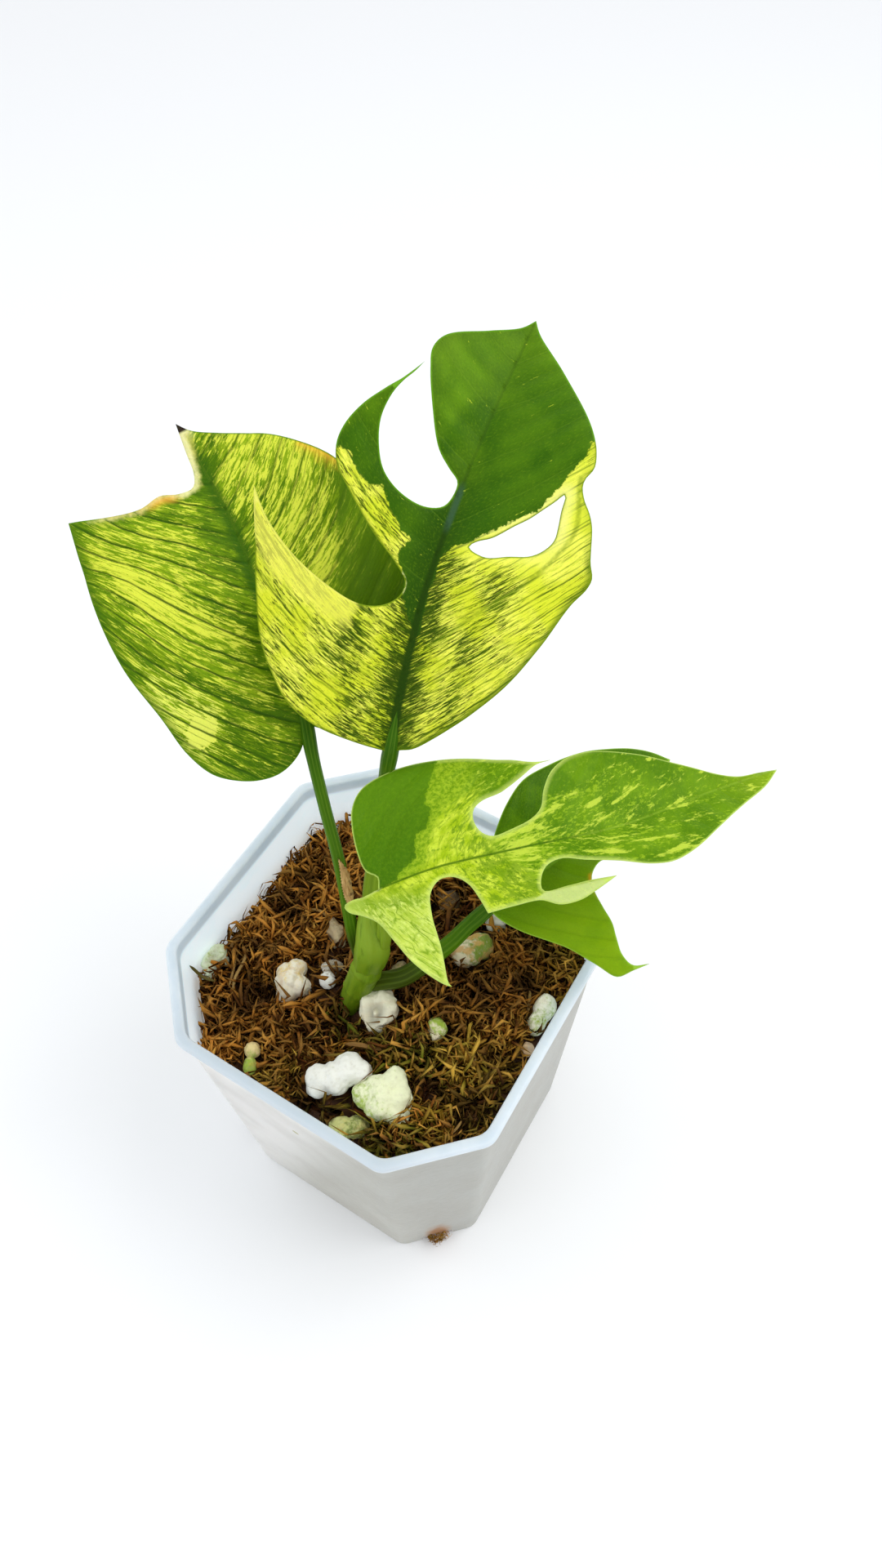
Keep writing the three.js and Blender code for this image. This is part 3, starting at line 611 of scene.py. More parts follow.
# %% A blade from its numbers
def cut_blade(leaf_name, zones):
    """The blade as one closed sheet, with zone distances and vein directions on its points."""
    leaf = LEAVES[leaf_name]
    blade = Blade(leaf)
    outline = np.vstack([respaced(smooth_run(run), CELL) for run in leaf["runs"]])[::-1]
    holes = [respaced(smooth_run(hole, closed=True), CELL) for hole in leaf["holes"]]
    flat, faces = fill(outline, holes, CELL)
    u, v = flat.T
    edge = np.min([distance_to(flat, ring) for ring in [outline, *holes]], axis=0)
    edge[edge < 1e-3] = 0
    veins = vein_place(leaf, u, v)
    share = np.clip(u / blade.length, 0, 1)
    inner = np.clip(edge / 3, 0, 1)
    quilt = 0.16 * inner * np.clip(np.abs(v) / 4, 0, 1) * np.cos(2 * np.pi * veins[:, 0] / LATERALS)
    groove = 0.3 * (1 - share) * np.exp(-((v / 0.7) ** 2))
    keel = (1.15 * (1 - share) + 0.2) * np.exp(-((v / (1.1 - 0.5 * share)) ** 2)) * inner**0.3
    ribs = 0.18 * inner * np.exp(-(((veins[:, 0] / LATERALS + 0.5) % 1 - 0.5) * LATERALS / 0.45) ** 2)
    thicker = (SHEET["middle"] - SHEET["edge"]) * np.clip(edge / SHEET["taper"], 0, 1) ** 0.5
    half = 0.5 * (SHEET["edge"] + thicker)
    middle, normal = blade.middle(u, v), blade.facing(u, v)
    middle = middle - normal * quilt[:, None]
    top = middle + normal * (half - groove)[:, None]
    under = middle - normal * (half + keel + ribs)[:, None]
    skin = both_skins(faces, len(flat))
    values = {"flat": np.stack([u, v, 0 * u], axis=-1), "vein": veins, "edge": edge}
    values |= {key: signed_distance(flat, corners) for key, corners in zones.items()}
    values = {key: np.concatenate([value, value]) for key, value in values.items()}
    values["under"] = np.repeat([0.0, 1.0], len(flat))
    made = new_piece(f"{leaf_name}_blade", np.vstack([top, under]), skin, values)
    print(leaf_name, "blade:", len(skin), "faces,", round(blade.length, 1), "mm along the rib")
    return made


def add_distance(blade_piece, key, line, closed):
    """Stores on a finished blade how far each point is from a flat line."""
    mesh = blade_piece.data
    flat = np.zeros(3 * len(mesh.vertices), np.float32)
    mesh.attributes["flat"].data.foreach_get("vector", flat)
    store(mesh, key, distance_to(flat.reshape(-1, 3)[:, :2], smooth_run(line, closed, 6), closed))


# %% [markdown]
# ## Effects that several leaf finishes share
# Variegation is a patchwork: sectors with a ragged border, and inside them flecks that run along the veins.
# It could be painted by hand on a texture, but noise that is stretched along the vein directions on the mesh
# gives the same grain at any size. Each effect is a small shader group, so that every leaf can use it with
# its own values.

# %% Group: a border that noise makes ragged
ORIGIN = (0.0, 0.0, 0.0)
bench, (distance, place, reach, grain, blur) = new_group(
    "Ragged zone", {"Distance": 0.0, "Place": ORIGIN, "Reach": 1.0, "Grain": 0.6, "Blur": 0.15}, "Mask"
)
moved = distance + (place.noise(grain, 5, 0.62) - 0.5) * (reach * 4)
RAGGED = bench.give(moved.rise(blur * -1, blur))

# %% Group: flecks that run along the veins
bench, (vein, across, along_vein, cover, cluster, blur, seed) = new_group("Vein flecks", {
    "Vein": ORIGIN, "Across": 1.0, "Along": 0.2, "Cover": 0.5, "Cluster": 0.0, "Blur": 0.05, "Seed": 0.0
}, "Mask")
seed = bench.join(seed, seed, seed)
stretched = bench.vector("MULTIPLY", vein, bench.join(across, along_vein, 1))
grain = bench.vector("ADD", stretched, seed).noise(1, 5, 0.7, 0.3)
bundles = bench.vector("ADD", vein * (0.55, 0.12, 1), seed).noise(1, 3, 0.6)
limit = 0.72 - (cover + (bundles - 0.5) * cluster) * 0.44
FLECKS = bench.give(grain.rise(limit - blur, limit + blur))

# %% Group: side veins as thin, slightly wandering lines
bench, (vein, spacing, width, wander) = new_group(
    "Vein lines", {"Vein": ORIGIN, "Spacing": 5.6, "Width": 0.35, "Wander": 0.6}, "Line"
)
drift = (vein * (0.15, 0.15, 1)).noise(1, 2)
gap = bench.math("PINGPONG", vein.parts()[0] + (drift - 0.5) * (wander * 2), spacing * 0.5)
VEIN_LINES = bench.give(gap.fall(0, width))

# %% Group: the net of the smallest veins
bench, (flat, scale, width) = new_group("Vein net", {"Flat": ORIGIN, "Scale": 0.9, "Width": 0.12}, "Line")
wobble = bench.wire("ShaderNodeTexNoise", {"Vector": flat, "Scale": 0.8, "Detail": 2}, "Color")
bent = {"Vector": bench.vector("ADD", flat, wobble), "Scale": scale}
cells = bench.wire("ShaderNodeTexVoronoi", bent, "Distance", feature="DISTANCE_TO_EDGE")
VEIN_NET = bench.give(cells.fall(0, width))
print("leaf groups:", [g.name for g in bpy.data.node_groups])

# %% [markdown]
# ## What every blade's finish has in common
# Living leaves are thin and full of water: light goes into them and comes out again, the upper side has a
# faint waxy gloss, and the margin is a thin line of another colour: a painted highlight where it is paler on
# the front leaf and by the tall leaf's first notch. The gloss and the light inside the leaf are plain values
# on the shader. Only the colour and the fine relief change over the surface.

# %% Start and finish of a leaf material
def start_leaf(name, roughness=0.45):
    """The bench, the place along the veins, the flat place, its u and v, and the distance to the margin."""
    bench = new_material(name, Roughness=roughness, Subsurface_Weight=0.12, Subsurface_Scale=0.0008, IOR=1.42,
                         Subsurface_Radius=(0.6, 1.0, 0.1), Specular_IOR_Level=0.09)
    flat = bench.place("flat")
    u, v, _ = flat.parts()
    return bench, bench.place("vein"), flat, u, v, bench.value("edge")


def rib_mask(v, width, fade):
    """1 on the midrib, 0 past its width in millimetres."""
    return abs(v).fall(width, width + fade)


def finish_leaf(bench, colour, margin, margin_width=0.5, relief=0.12):
    """The margin's line, dark specks, the paler underside, and the relief of veins and skin."""
    vein, flat = bench.place("vein"), bench.place("flat")
    bench.finish(colour.coats(
        (bench.value("edge").fall(0, margin_width), margin),
        (flat.noise(3.5, 3, 0.7).rise(0.52, 0.75, 0, 0.22), (20, 44, 0)),
        (bench.value("under") * 0.45, (168, 190, 104)),
    ))
    main = vein.through(VEIN_LINES, Spacing=LATERALS, Width=0.5)
    fine = vein.through(VEIN_LINES, Spacing=0.9, Width=0.4, Wander=0.4)
    bench.bump(flat.noise(2.2, 4) * 0.8 + main * -0.5 + fine * -0.15, relief, 0.7)


# %% [markdown]
# ## The tall leaf
# Its two basal lobes are bright yellow, flecked with dark green along the side veins, most of all near the
# midrib. Everything beyond a ragged border is solid dark green, apart from a yellow patch on the outer edge
# of the second left lobe and the yellow neck round the hole. Each sector's border is drawn flat as a short
# list of points, and the distance to it is stored on the mesh, so noise can eat into it.

# %% Tall leaf: sectors and blade
TALL_ZONES = {
    "dark": [
        (49.6, 28), (49.6, 24.1), (49.8, 22.9), (49.6, 21.6), (48, 20.2), (46.8, 19.2), (46.5, 17.5),
        (45.8, 16.5), (46.6, 14.5), (45.1, 12.9), (43.5, 11.4), (42.2, 9.7), (40.8, 8.4), (39.9, 6.1),
        (38.6, 7.1), (37.1, 7.4), (36.4, 7.7), (32.7, 4.2), (30.1, 4.2), (26.8, 2.3), (25, 0.7),
        (23.1, -0.3), (23.9, -1.7), (27.7, -1.2), (30.4, -1.3), (32.9, -0.9), (34.7, -1.3), (36.9, -1.2),
        (39, -1.1), (41.3, -2.6), (43, -5.2), (53.1, -15.8), (55.8, -16.5), (58.1, -17.6), (60.5, -18.1),
        (62.6, -19.1), (64.4, -19.7), (66.6, -19.4), (72, -30), (100, -30), (100, 30),
    ],
    "cream": [(41, 37.2), (39.3, 34.9), (35.2, 30.7), (31.4, 25), (28.6, 18.3), (27, 12), (22.8, 12.5),
              (23.2, 17), (25.2, 22), (27.4, 26.6), (30, 30.4), (34, 33.4)],
    "patch": [(33.5, 5), (52, 3), (60, 32), (42, 32)],
}
leaf_tall_blade = cut_blade("leaf_tall", TALL_ZONES)

# %% Tall leaf: how far each point is from the hole, and from the vein that turns round it
NECK_VEIN = [(22, -3.5), (26.5, -7.5), (31, -11), (34.2, -13.8), (38, -16.8), (41.2, -18.8), (44.2, -20.5),
             (47.2, -21.8), (50.2, -22.8), (52.8, -22.8), (55, -22.2), (57.8, -21), (60.5, -20)]
add_distance(leaf_tall_blade, "hole", LEAVES["leaf_tall"]["holes"][0], closed=True)
add_distance(leaf_tall_blade, "neck", NECK_VEIN, closed=False)

# %% Tall leaf: finish of the yellow sectors
bench, vein, flat, u, v, edge = start_leaf("tall leaf")
from_rib = abs(v)
broad = flat.noise(0.11, 2)
yellow = bench.mix(broad.rise(0.38, 0.62), (216, 224, 50), (242, 243, 92))
band = abs(from_rib - 9 - u * 0.12).fall(0.5, 4.5, 0.12)
cover = from_rib.rise(0.5, 8, 0.6, 0.32) + v.rise(-2, 2, -0.05, 0) + (broad - 0.5) * 0.5 + band
hole = bench.value("hole")
bright_neck = hole.fall(1, 10) * u.rise(38, 44)
cover = bench.blend(bench.value("patch").rise(0, 1), cover, 0.33) - bright_neck * 0.2
soft = vein.through(FLECKS, Across=1.5, Along=0.34, Cover=cover + 0.15, Cluster=0.3, Blur=0.06, Seed=1)
long = vein.through(FLECKS, Across=2, Along=0.24, Cover=cover, Cluster=0.3, Blur=0.02, Seed=4)
short = vein.through(FLECKS, Across=3.2, Along=0.46, Cover=cover + 0.03, Cluster=0.42, Blur=0.02, Seed=7)
lines = vein.through(VEIN_LINES, Spacing=LATERALS, Width=0.38)
threads = vein.through(VEIN_LINES, Spacing=1.7, Width=0.32, Wander=1.3)
broken = (vein * (0.5, 0.16, 1)).noise(1, 4).rise(0.36, 0.56)
cream = bench.value("cream").through(RAGGED, Place=vein, Reach=0.9, Grain=0.8, Blur=1.1)
round_hole = hole.fall(0.4, 3) * u.rise(40, 52)
neck_vein = abs(bench.value("neck")).fall(0.15, 0.7, 0.5)
colour = yellow.coats(
    (soft * 0.45, (166, 188, 18)),
    (threads * broken * 0.8, (96, 128, 4)),
    (long * 0.9, (80, 110, 2)),
    (short * 0.92, (42, 68, 0)),
    (lines * broken * 0.9, (52, 84, 2)),
    (cream * 0.62, (236, 234, 96)),
    (round_hole * 0.85, (244, 242, 140)),
    (bright_neck * 0.2, (238, 246, 96)),
    (neck_vein, (100, 130, 8)),
)

# %% Tall leaf: finish of the dark sector, the rib and the margin
clouds = flat.noise(0.1, 2, 0.5, 0.3)
deep = bench.mix(clouds.rise(0.38, 0.64), (60, 106, 2), (94, 138, 10))
# Painted light and shade on the dark sector: a highlight towards the tip and on the upper left, shade on its
# right and near the edges of the left half.
left_light = v.rise(7, 14) * u.rise(62, 72)
right_shade = v.rise(1, -6) * u.rise(84, 70)
notch_shade = edge.fall(0.3, 3) * v.rise(-2, 4)
soft_veins = vein.through(VEIN_LINES, Spacing=LATERALS, Width=2.6, Wander=1.4)
deep_threads = vein.through(VEIN_LINES, Spacing=2 * LATERALS, Width=0.2)
deep_grain = (vein * (2.6, 1.8, 1)).noise(1, 4, 0.7)
pale_flecks = vein.through(FLECKS, Across=1.3, Along=0.45, Cover=0.03, Cluster=1.1, Blur=0.02, Seed=3)
dark = (bench.value("dark") - 0.2).through(RAGGED, Place=flat, Reach=0.5, Grain=0.9)
deep = deep.coats(
    (u.rise(60, 82) * 0.55, (104, 146, 18)),
    (left_light * 0.5, (120, 160, 20)),
    (u.fall(44, 62) * 0.6, (50, 90, 4)),
    (from_rib.fall(1, 8) * u.rise(38, 66, 0.8, 0.25), (34, 68, 2)),
    (right_shade * 0.55, (50, 94, 4)),
    (notch_shade * 0.3, (44, 82, 2)),
    (soft_veins * 0.22, (40, 82, 0)),
    (deep_threads * 0.16, (126, 166, 40)),
    (deep_grain.rise(0.5, 0.7, 0, 0.3), (120, 158, 20)),
    (deep_grain.fall(0.32, 0.48, 0.22), (40, 76, 0)),
    (pale_flecks * 0.85, (206, 222, 60)),
)
rib = rib_mask(v, u.rise(0, 55, 0.66, 0.1), u.rise(40, 60, 0.8, 0.4))
# A painted sheen: the grey-green glint of light on the rib beside the second notch.
painted_rib_sheen = rib_mask(v, 0.25, 0.8) * abs(u - 48.2).fall(2.5, 5.5)
outer_edge = edge.fall(0.3, 1.6, 0.7) * (v.rise(4, -2) * u.rise(46, 52, 1, 0.3)) * hole.rise(1.5, 3)
# Painted highlight: the margin by the first notch is paler where the lobe's edge curls up to face the light.
curled_edge_highlight = u.fall(34, 42) * v.rise(1, 4)
dark_margin = bench.mix(curled_edge_highlight, (104, 158, 30), (226, 234, 150))
hair = u.rise(62, 65.5) * v.rise(15.2, 15.6)
pale_margin = bench.mix(bench.value("cream").rise(-0.6, 0.4), (120, 146, 10), (232, 232, 104))
colour = colour.coats(
    (dark, deep),
    (rib * u.rise(44, 58, 0.95, 0.25), (34, 64, 2)),
    (painted_rib_sheen * 0.75, (62, 96, 64)),
    (outer_edge * (1 - dark), (74, 108, 4)),
    (hair * u.rise(68.5, 67.5), (236, 242, 220)),
)
finish_leaf(bench, colour, bench.mix(dark, pale_margin, dark_margin), 0.42)
fit(leaf_tall_blade, "leaf_tall", "leaf_mottled", bench.material)

# %% [markdown]
# ## The left leaf
# This one is mid green, mottled with yellow in long flecks that follow the side veins, with a brighter band
# across the middle, a solid yellow patch with a crisp edge low on the left, and a plain olive sector on the
# right. Its upper edge has been scorched: orange-yellow at the rim, and black at the very tip.

# %% Left leaf: sectors and blade
LEFT_ZONES = {
    "bright": [(49.1, 25.3), (40.7, 19.9), (29.2, 13.4), (21.9, 5.5), (18.7, 4.6), (23.5, 12.1),
               (28.7, 20.5), (39.3, 25.6), (46.5, 26.7)],
    "patch": [(9.5, 19.8), (7.5, 16.5), (3.5, 18), (2.8, 22.5), (6.8, 23.8)],
    "flecked": [(5.4, 14.5), (3.7, 18), (-0.3, 21.6), (3, 26), (14, 28), (22, 26), (17, 20), (11, 15.5)],
    "plain": [(42.6, -22.9), (41.4, -22), (36.9, -20), (34.9, -19), (29.5, -17.6), (22, -13), (12, -8),
              (2, -4), (-8, -8), (10, -45), (50, -45)],
    "scorch": [(56, 29), (54.1, 25.6), (51.6, 20.5), (50.9, 14.2), (51.2, 9), (49.8, 5), (51, 1.5),
               (58, -1), (61.5, -2), (70, -2), (70, 29)],
    "burnt": [(62.6, -3), (62.9, 3), (70, 3), (70, -3)],
    "rust": [(40, -27), (44, -22), (48, -18.4), (56, -24), (44, -34)],
}
leaf_left_blade = cut_blade("leaf_left", LEFT_ZONES)

# %% Left leaf: finish
bench, vein, flat, u, v, edge = start_leaf("left leaf")
broad = (vein * (0.14, 0.035, 1)).noise(1, 3)
green = bench.mix(broad.rise(0.35, 0.65), (74, 112, 2), (112, 148, 12))
bright = bench.value("bright").through(RAGGED, Place=flat, Reach=1.6, Blur=3.5)
patch = bench.value("patch").through(RAGGED, Place=flat, Reach=1.1, Blur=0.35)
flecked = bench.value("flecked").through(RAGGED, Place=flat, Reach=1.6, Blur=3)
plain = bench.value("plain").through(RAGGED, Place=flat, Reach=1.2, Blur=1.6)
left_half = v.rise(-1, 1)
cover = bench.blend(left_half, 0.52, 0.36) + (broad - 0.5) * 0.6
cover = cover + bright * 0.28 + (patch * 0.3 + flecked * 0.14) - plain * 0.3 - abs(v).fall(1, 7, 0.16)
soft = vein.through(FLECKS, Across=1.1, Along=0.3, Cover=cover + 0.1, Cluster=0.5, Blur=0.06)
crisp = vein.through(FLECKS, Across=1.9, Along=0.42, Cover=cover, Cluster=0.8, Blur=0.02, Seed=5)
shade = vein.through(FLECKS, Across=2.2, Along=0.4, Cover=0.7 - cover, Cluster=0.7, Blur=0.03, Seed=8)
speckle = vein.through(FLECKS, Across=4.6, Along=2.2, Cover=0.62 - cover, Cluster=0.5, Blur=0.04, Seed=2)
lines = vein.through(VEIN_LINES, Spacing=LATERALS, Width=0.55, Wander=1)
threads = vein.through(VEIN_LINES, Spacing=1.9, Width=0.26, Wander=1.4)
broken = (vein * (0.4, 0.2, 1)).noise(1, 4).rise(0.3, 0.5, 0.45)
rib = rib_mask(v, 0.4, 1.8)
rim = edge.fall(0.2, 2.6)
scorch = (bench.value("scorch") - 0.5).through(RAGGED, Place=flat, Reach=0.7, Blur=1)
pale_rim = edge.fall(0.5, 1.8) * scorch
orange = (flat * (1, 0.5, 1)).away((50.8, 4.9, 0)).fall(0.3, 2.2, 0.8) * edge.fall(0.6, 2.4)
far_left = v.rise(8, 13) * v.rise(15, 24, 1, 0.25)
rust = bench.value("rust").through(RAGGED, Place=flat, Reach=0.8, Blur=1.6)
burnt = bench.value("burnt").rise(-0.3, 0.5)
colour = green.coats(
    (soft * 0.5, (162, 188, 26)),
    (crisp * 0.85, (226, 232, 74)),
    (flecked * crisp * 0.45, (238, 244, 120)),
    (shade * 0.65, (58, 94, 0)),
    (speckle * 0.5, (74, 110, 4)),
    (lines * broken * bench.blend(left_half, 0.65, 0.95), (40, 76, 0)),
    (threads * broken * 0.45, (60, 96, 0)),
    (plain * 0.6, (92, 126, 14)),
    (rib * 0.8, (50, 92, 4)),
    (rim * left_half * 0.6, (64, 106, 4)),
    (scorch * 0.7, (236, 228, 110)),
    (pale_rim * 0.6, (246, 242, 190)),
    (orange, (240, 176, 62)),
    (scorch * far_left * 0.5, (238, 184, 70)),
    (rust * 0.75, (236, 178, 54)),
    (burnt, (46, 34, 26)),
)
margin = bench.mix(bench.math("MAXIMUM", burnt, scorch), (92, 134, 14), colour)
finish_leaf(bench, colour, margin, 0.4, relief=0.2)
fit(leaf_left_blade, "leaf_left", "leaf_mottled", bench.material)

# %% [markdown]
# ## The front leaf
# Half of its first lobe is solid green and stops at a ragged border. Beyond it the leaf is lime, with a net
# of fine veins, then green again towards the tip, with splashes of pale yellow. The lobe below the rib is
# nearly cream. A whitish line of painted highlight runs round the whole margin, widest in the notches.

# %% Front leaf: sectors and blade
FRONT_ZONES = {
    "solid": [(18, 25), (16.6, 20.8), (14.6, 17.1), (13.6, 14.9), (13, 13), (13.9, 12.2), (13, 9.8),
              (12.1, 8.1), (10.2, 8.1), (9.6, 6.6), (8.7, 3.1), (6.3, 2.1), (4.6, 1.4), (4, 0.5),
              (-2, -0.4), (-12, 4), (-12, 30)],
    "lime": [(24, 13.5), (19.2, 13), (16.3, 11), (13.9, 8.3), (12.1, 5.6), (10.5, 1.6), (8, 0), (-12, 0),
             (-12, -30), (32, -20), (44, -16), (44, -11), (30, -10.7), (28.9, -8.9), (27.7, -4.8),
             (25.4, -1.5), (23.3, 1), (23, 4.1), (22, 7), (22, 11)],
    "pale": [(-12, 1), (-3, 0.4), (1, -2.2), (6, -3.6), (12, -6), (14, -12), (10, -32), (-12, -32)],
    "ear": [(-3.4, 1), (-3.4, -3), (-6, -8), (-12, -8), (-12, 1)],
    "curl": [(24.2, -13.6), (28.7, -12.3), (30.4, -11.5), (35, -11.5), (44, -11.2), (44, -17), (26, -17)],
}
leaf_front_blade = cut_blade("leaf_front", FRONT_ZONES)

# %% Front leaf: finish of the lime and cream sectors
bench, vein, flat, u, v, edge = start_leaf("front leaf", 0.4)
grit = flat.noise(1.3, 5, 0.72)
lobe = bench.mix(grit.rise(0.38, 0.62), (108, 148, 10), (156, 186, 36))
lime_tone = bench.mix(vein.noise(0.35, 4, 0.6).rise(0.36, 0.64), (164, 192, 22), (206, 224, 66))
net = (vein * (1, 0.4, 1)).through(VEIN_NET, Scale=0.5, Width=0.085)
lime_threads = vein.through(VEIN_LINES, Spacing=2.4, Width=0.2, Wander=2.4)
small_veins = bench.math("MAXIMUM", net, lime_threads) * flat.noise(0.5, 3).rise(0.36, 0.6)
further = u.rise(12, 30, 0.25, 0.7), u.rise(8, 30, 0.15, 0.4)
dull = vein.through(FLECKS, Across=0.9, Along=0.7, Cover=further[0], Cluster=0.9, Blur=0.06, Seed=4)
mottle = vein.through(FLECKS, Across=2.2, Along=1.2, Cover=further[1], Cluster=1.2, Blur=0.04, Seed=6)
pale_tone = bench.mix(grit.rise(0.4, 0.66, 0, 0.6), (212, 228, 116), (172, 198, 50))
lime_tone = lime_tone.coats(
    (grit.rise(0.5, 0.72, 0, 0.5), (134, 168, 14)),
    (small_veins * 0.6, (112, 150, 8)),
    (dull * 0.72, (96, 138, 8)),
    (mottle * 0.6, (84, 126, 4)),
)
streaks = (vein * (0.9, 0.16, 1)).noise(1, 4, 0.62)
near_rib = abs(v).rise(1, 11, 0.75, 0.2)
greened = vein.through(FLECKS, Across=1.6, Along=0.4, Cover=near_rib, Cluster=0.6, Blur=0.05, Seed=7)
pale_lines = vein.through(VEIN_LINES, Spacing=3.4, Width=0.16, Wander=3.2)
pale_tone = pale_tone.coats(
    (flat.noise(0.3, 3).rise(0.4, 0.62, 0, 0.5), (184, 206, 60)),
    (streaks.rise(0.42, 0.62, 0, 0.6), (150, 182, 38)),
    (greened * 0.7, (122, 158, 18)),
    (small_veins * 0.8, (112, 150, 14)),
    (pale_lines * 0.75, (112, 148, 18)),
)

# %% Front leaf: finish of the green sectors, the rib and the margin
apex = bench.mix(flat.noise(0.12, 3).rise(0.38, 0.64), (82, 126, 2), (104, 146, 10))
swept = bench.join(abs(v) - u * 0.22, u, v * 0.02)
splash_cover = u.rise(26, 42, 0.5, 0.24) + u.rise(50, 66, 0, -0.1) - (v - u * 0.12).rise(3, 8, 0, 0.3)
splashes = swept.through(FLECKS, Across=0.95, Along=0.32, Cover=splash_cover, Cluster=2.2, Blur=0.06, Seed=2)
speckles = swept.through(FLECKS, Across=2, Along=1, Cover=splash_cover + 0.1, Cluster=1.4, Blur=0.04, Seed=9)
apex = apex.coats(
    (u.rise(70, 86) * 0.7, (136, 168, 14)),
    (grit.rise(0.46, 0.72, 0, 0.35), (134, 170, 22)),
    (speckles * 0.6, (160, 192, 36)),
    (splashes * 0.8, (198, 218, 70)),
)
upper = bench.mix(u.rise(20, 27), lobe, apex)
lime = bench.value("lime").through(RAGGED, Place=flat, Reach=1.1, Blur=0.9)
pale = bench.value("pale").through(RAGGED, Place=flat, Reach=1.4, Blur=2.6)
ear = bench.value("ear").through(RAGGED, Place=flat, Reach=0.6, Blur=1.2)
solid = bench.value("solid").through(RAGGED, Place=flat, Reach=0.6, Grain=1.3, Blur=0.12)
solid_tone = bench.mix(v.rise(2, 20), (68, 112, 2), (86, 130, 8))
solid_tone = solid_tone.coats((grit.rise(0.42, 0.66, 0, 0.25), (116, 158, 20)))
rib_tone = bench.mix(u.rise(34, 52), (66, 108, 4), (150, 186, 52))
rib_strength = u.rise(34, 60, 0.85, 0.35)
# Painted highlight: the whitish margin line widens along the notches, where the edge catches the light.
notch_light = edge.fall(0.2, 1.1) * u.fall(40, 52, 0.45)
curl = bench.value("curl").rise(-0.2, 0.3)
colour = upper.coats(
    (lime, lime_tone),
    (pale, pale_tone),
    (ear * 0.55, (172, 196, 78)),
    (solid, solid_tone),
    (rib_mask(v, 0.12, 0.35) * rib_strength, rib_tone),
    (notch_light * (1 - solid), (216, 230, 120)),
    (curl * 0.85, (196, 212, 130)),
)
# The margin's whitish colour is painted highlight.
finish_leaf(bench, colour, (190, 216, 104), 0.36)
fit(leaf_front_blade, "leaf_front", "leaf_splashed", bench.material)

# %% [markdown]
# ## The low leaf
# The plain one: glossy, dark green where it lies in shade, lighter towards its lower lobe, with a rust
# coloured edge in two places.

# %% Low leaf: sectors, blade and finish
LOW_ZONES = {
    "rust": [(21.4, -9), (21, -13.2), (24, -13.2), (25.6, -8), (22.5, -7.4)],
    "tip": [(47, 12.5), (55, 7.5), (62, 1), (66, 6), (50, 18)],
}
leaf_low_blade = cut_blade("leaf_low", LOW_ZONES)
bench, vein, flat, u, v, edge = start_leaf("low leaf", 0.38)
colour = bench.mix(v.rise(-20, 6), (132, 170, 12), (64, 106, 2))
grit = flat.noise(2.6, 4, 0.7)
lines = vein.through(VEIN_LINES, Spacing=LATERALS, Width=0.8)
rust, tip = (bench.value(zone).rise(-0.8, 0.6) * edge.fall(0.3, 2.2) for zone in ("rust", "tip"))
colour = colour.coats(
    (flat.noise(0.14, 3).rise(0.4, 0.7, 0, 0.5), (104, 148, 8)),
    (grit.rise(0.45, 0.7, 0, 0.3), (128, 166, 22)),
    (lines * 0.12, (56, 98, 2)),
    (rib_mask(v, 0.3, 0.5) * 0.5, (124, 168, 44)),
    (rust * 0.9, (214, 142, 24)),
    (tip * 0.9, (206, 176, 30)),
)
finish_leaf(bench, colour, (150, 192, 60), 0.35)
fit(leaf_low_blade, "leaf_low", "leaf_green", bench.material)

# %% [markdown]
# ## Stalks
# A leaf stalk is round below and has a shallow groove above, between two shoulders. Near the stem the
# shoulders widen into a sheath, and just under the blade the stalk is a little swollen. A bevelled curve
# would give a plain pipe, so the rings are set round the path, and the groove is turned to the side
# that the leaf looks to. The stalk runs on under the blade and thins out into its midrib.

# %% A ringed bar along a path
def tube_faces(rows, sides):
    """Faces from ring to ring, and a fan at each end to the two points that come after the rings."""
    corners = [(r, k, (k + 1) % sides) for r in range(rows - 1) for k in range(sides)]
    faces = [(r * sides + k, r * sides + m, (r + 1) * sides + m, (r + 1) * sides + k) for r, k, m in corners]
    start, last = rows * sides, (rows - 1) * sides
    faces += [(start, (k + 1) % sides, k) for k in range(sides)]
    return faces + [(start + 1, last + k, last + (k + 1) % sides) for k in range(sides)]


def tapered(distance, length, radii):
    """The radius at a distance, between radii that are evenly spaced."""
    return np.interp(distance, np.linspace(0, length, len(radii)), radii)


def ring_bar(path, radius_at, look, profile, sides=28, step=0.8):
    """Rings round a path: profile(angle from the look side, place along in mm) scales the radius."""
    centres = respaced(path, step)
    distance = along(centres)
    tangents = unit(np.gradient(centres, axis=0))
    up = unit(look - (tangents @ look)[:, None] * tangents)
    side = np.cross(tangents, up)
    angle = np.linspace(-math.pi, math.pi, sides, endpoint=False)
    scale = radius_at(distance)[:, None] * profile(angle[None, :], distance[:, None])
    rings = (centres[:, None] + (scale * np.cos(angle))[..., None] * up[:, None]
             - (scale * np.sin(angle))[..., None] * side[:, None])
    points = [*rings.reshape(-1, 3), centres[0], centres[-1]]
    faces = [face[::-1] for face in tube_faces(len(centres), sides)]
    around = np.concatenate([np.tile(angle, len(centres)), [0, 0]])
    height = np.concatenate([np.repeat(distance, sides), [0, distance[-1]]])
    return np.array(points), faces, {"around": around, "along": height}


# %% A leaf's stalk
RUN_ON = (1.0, 5.0, 10.0, 16.0)  # the stalk runs on under the blade, to these places along its rib, in mm
UNDER = (0.75, 0.8, 0.85, 0.9)  # and this far under it, unless the leaf says otherwise


def stalk_path(leaf):
    """Up the stalk, then on under the first part of the blade."""
    blade = Blade(leaf)
    u = np.array(RUN_ON)
    zero = 0 * u
    run_on = blade.middle(u, zero) - blade.facing(u, zero) * np.array(leaf.get("under", UNDER))[:, None]
    bare = along(smooth_path([*leaf["petiole"], run_on[0]]))[-1]
    return smooth_path([*leaf["petiole"], *run_on]), bare


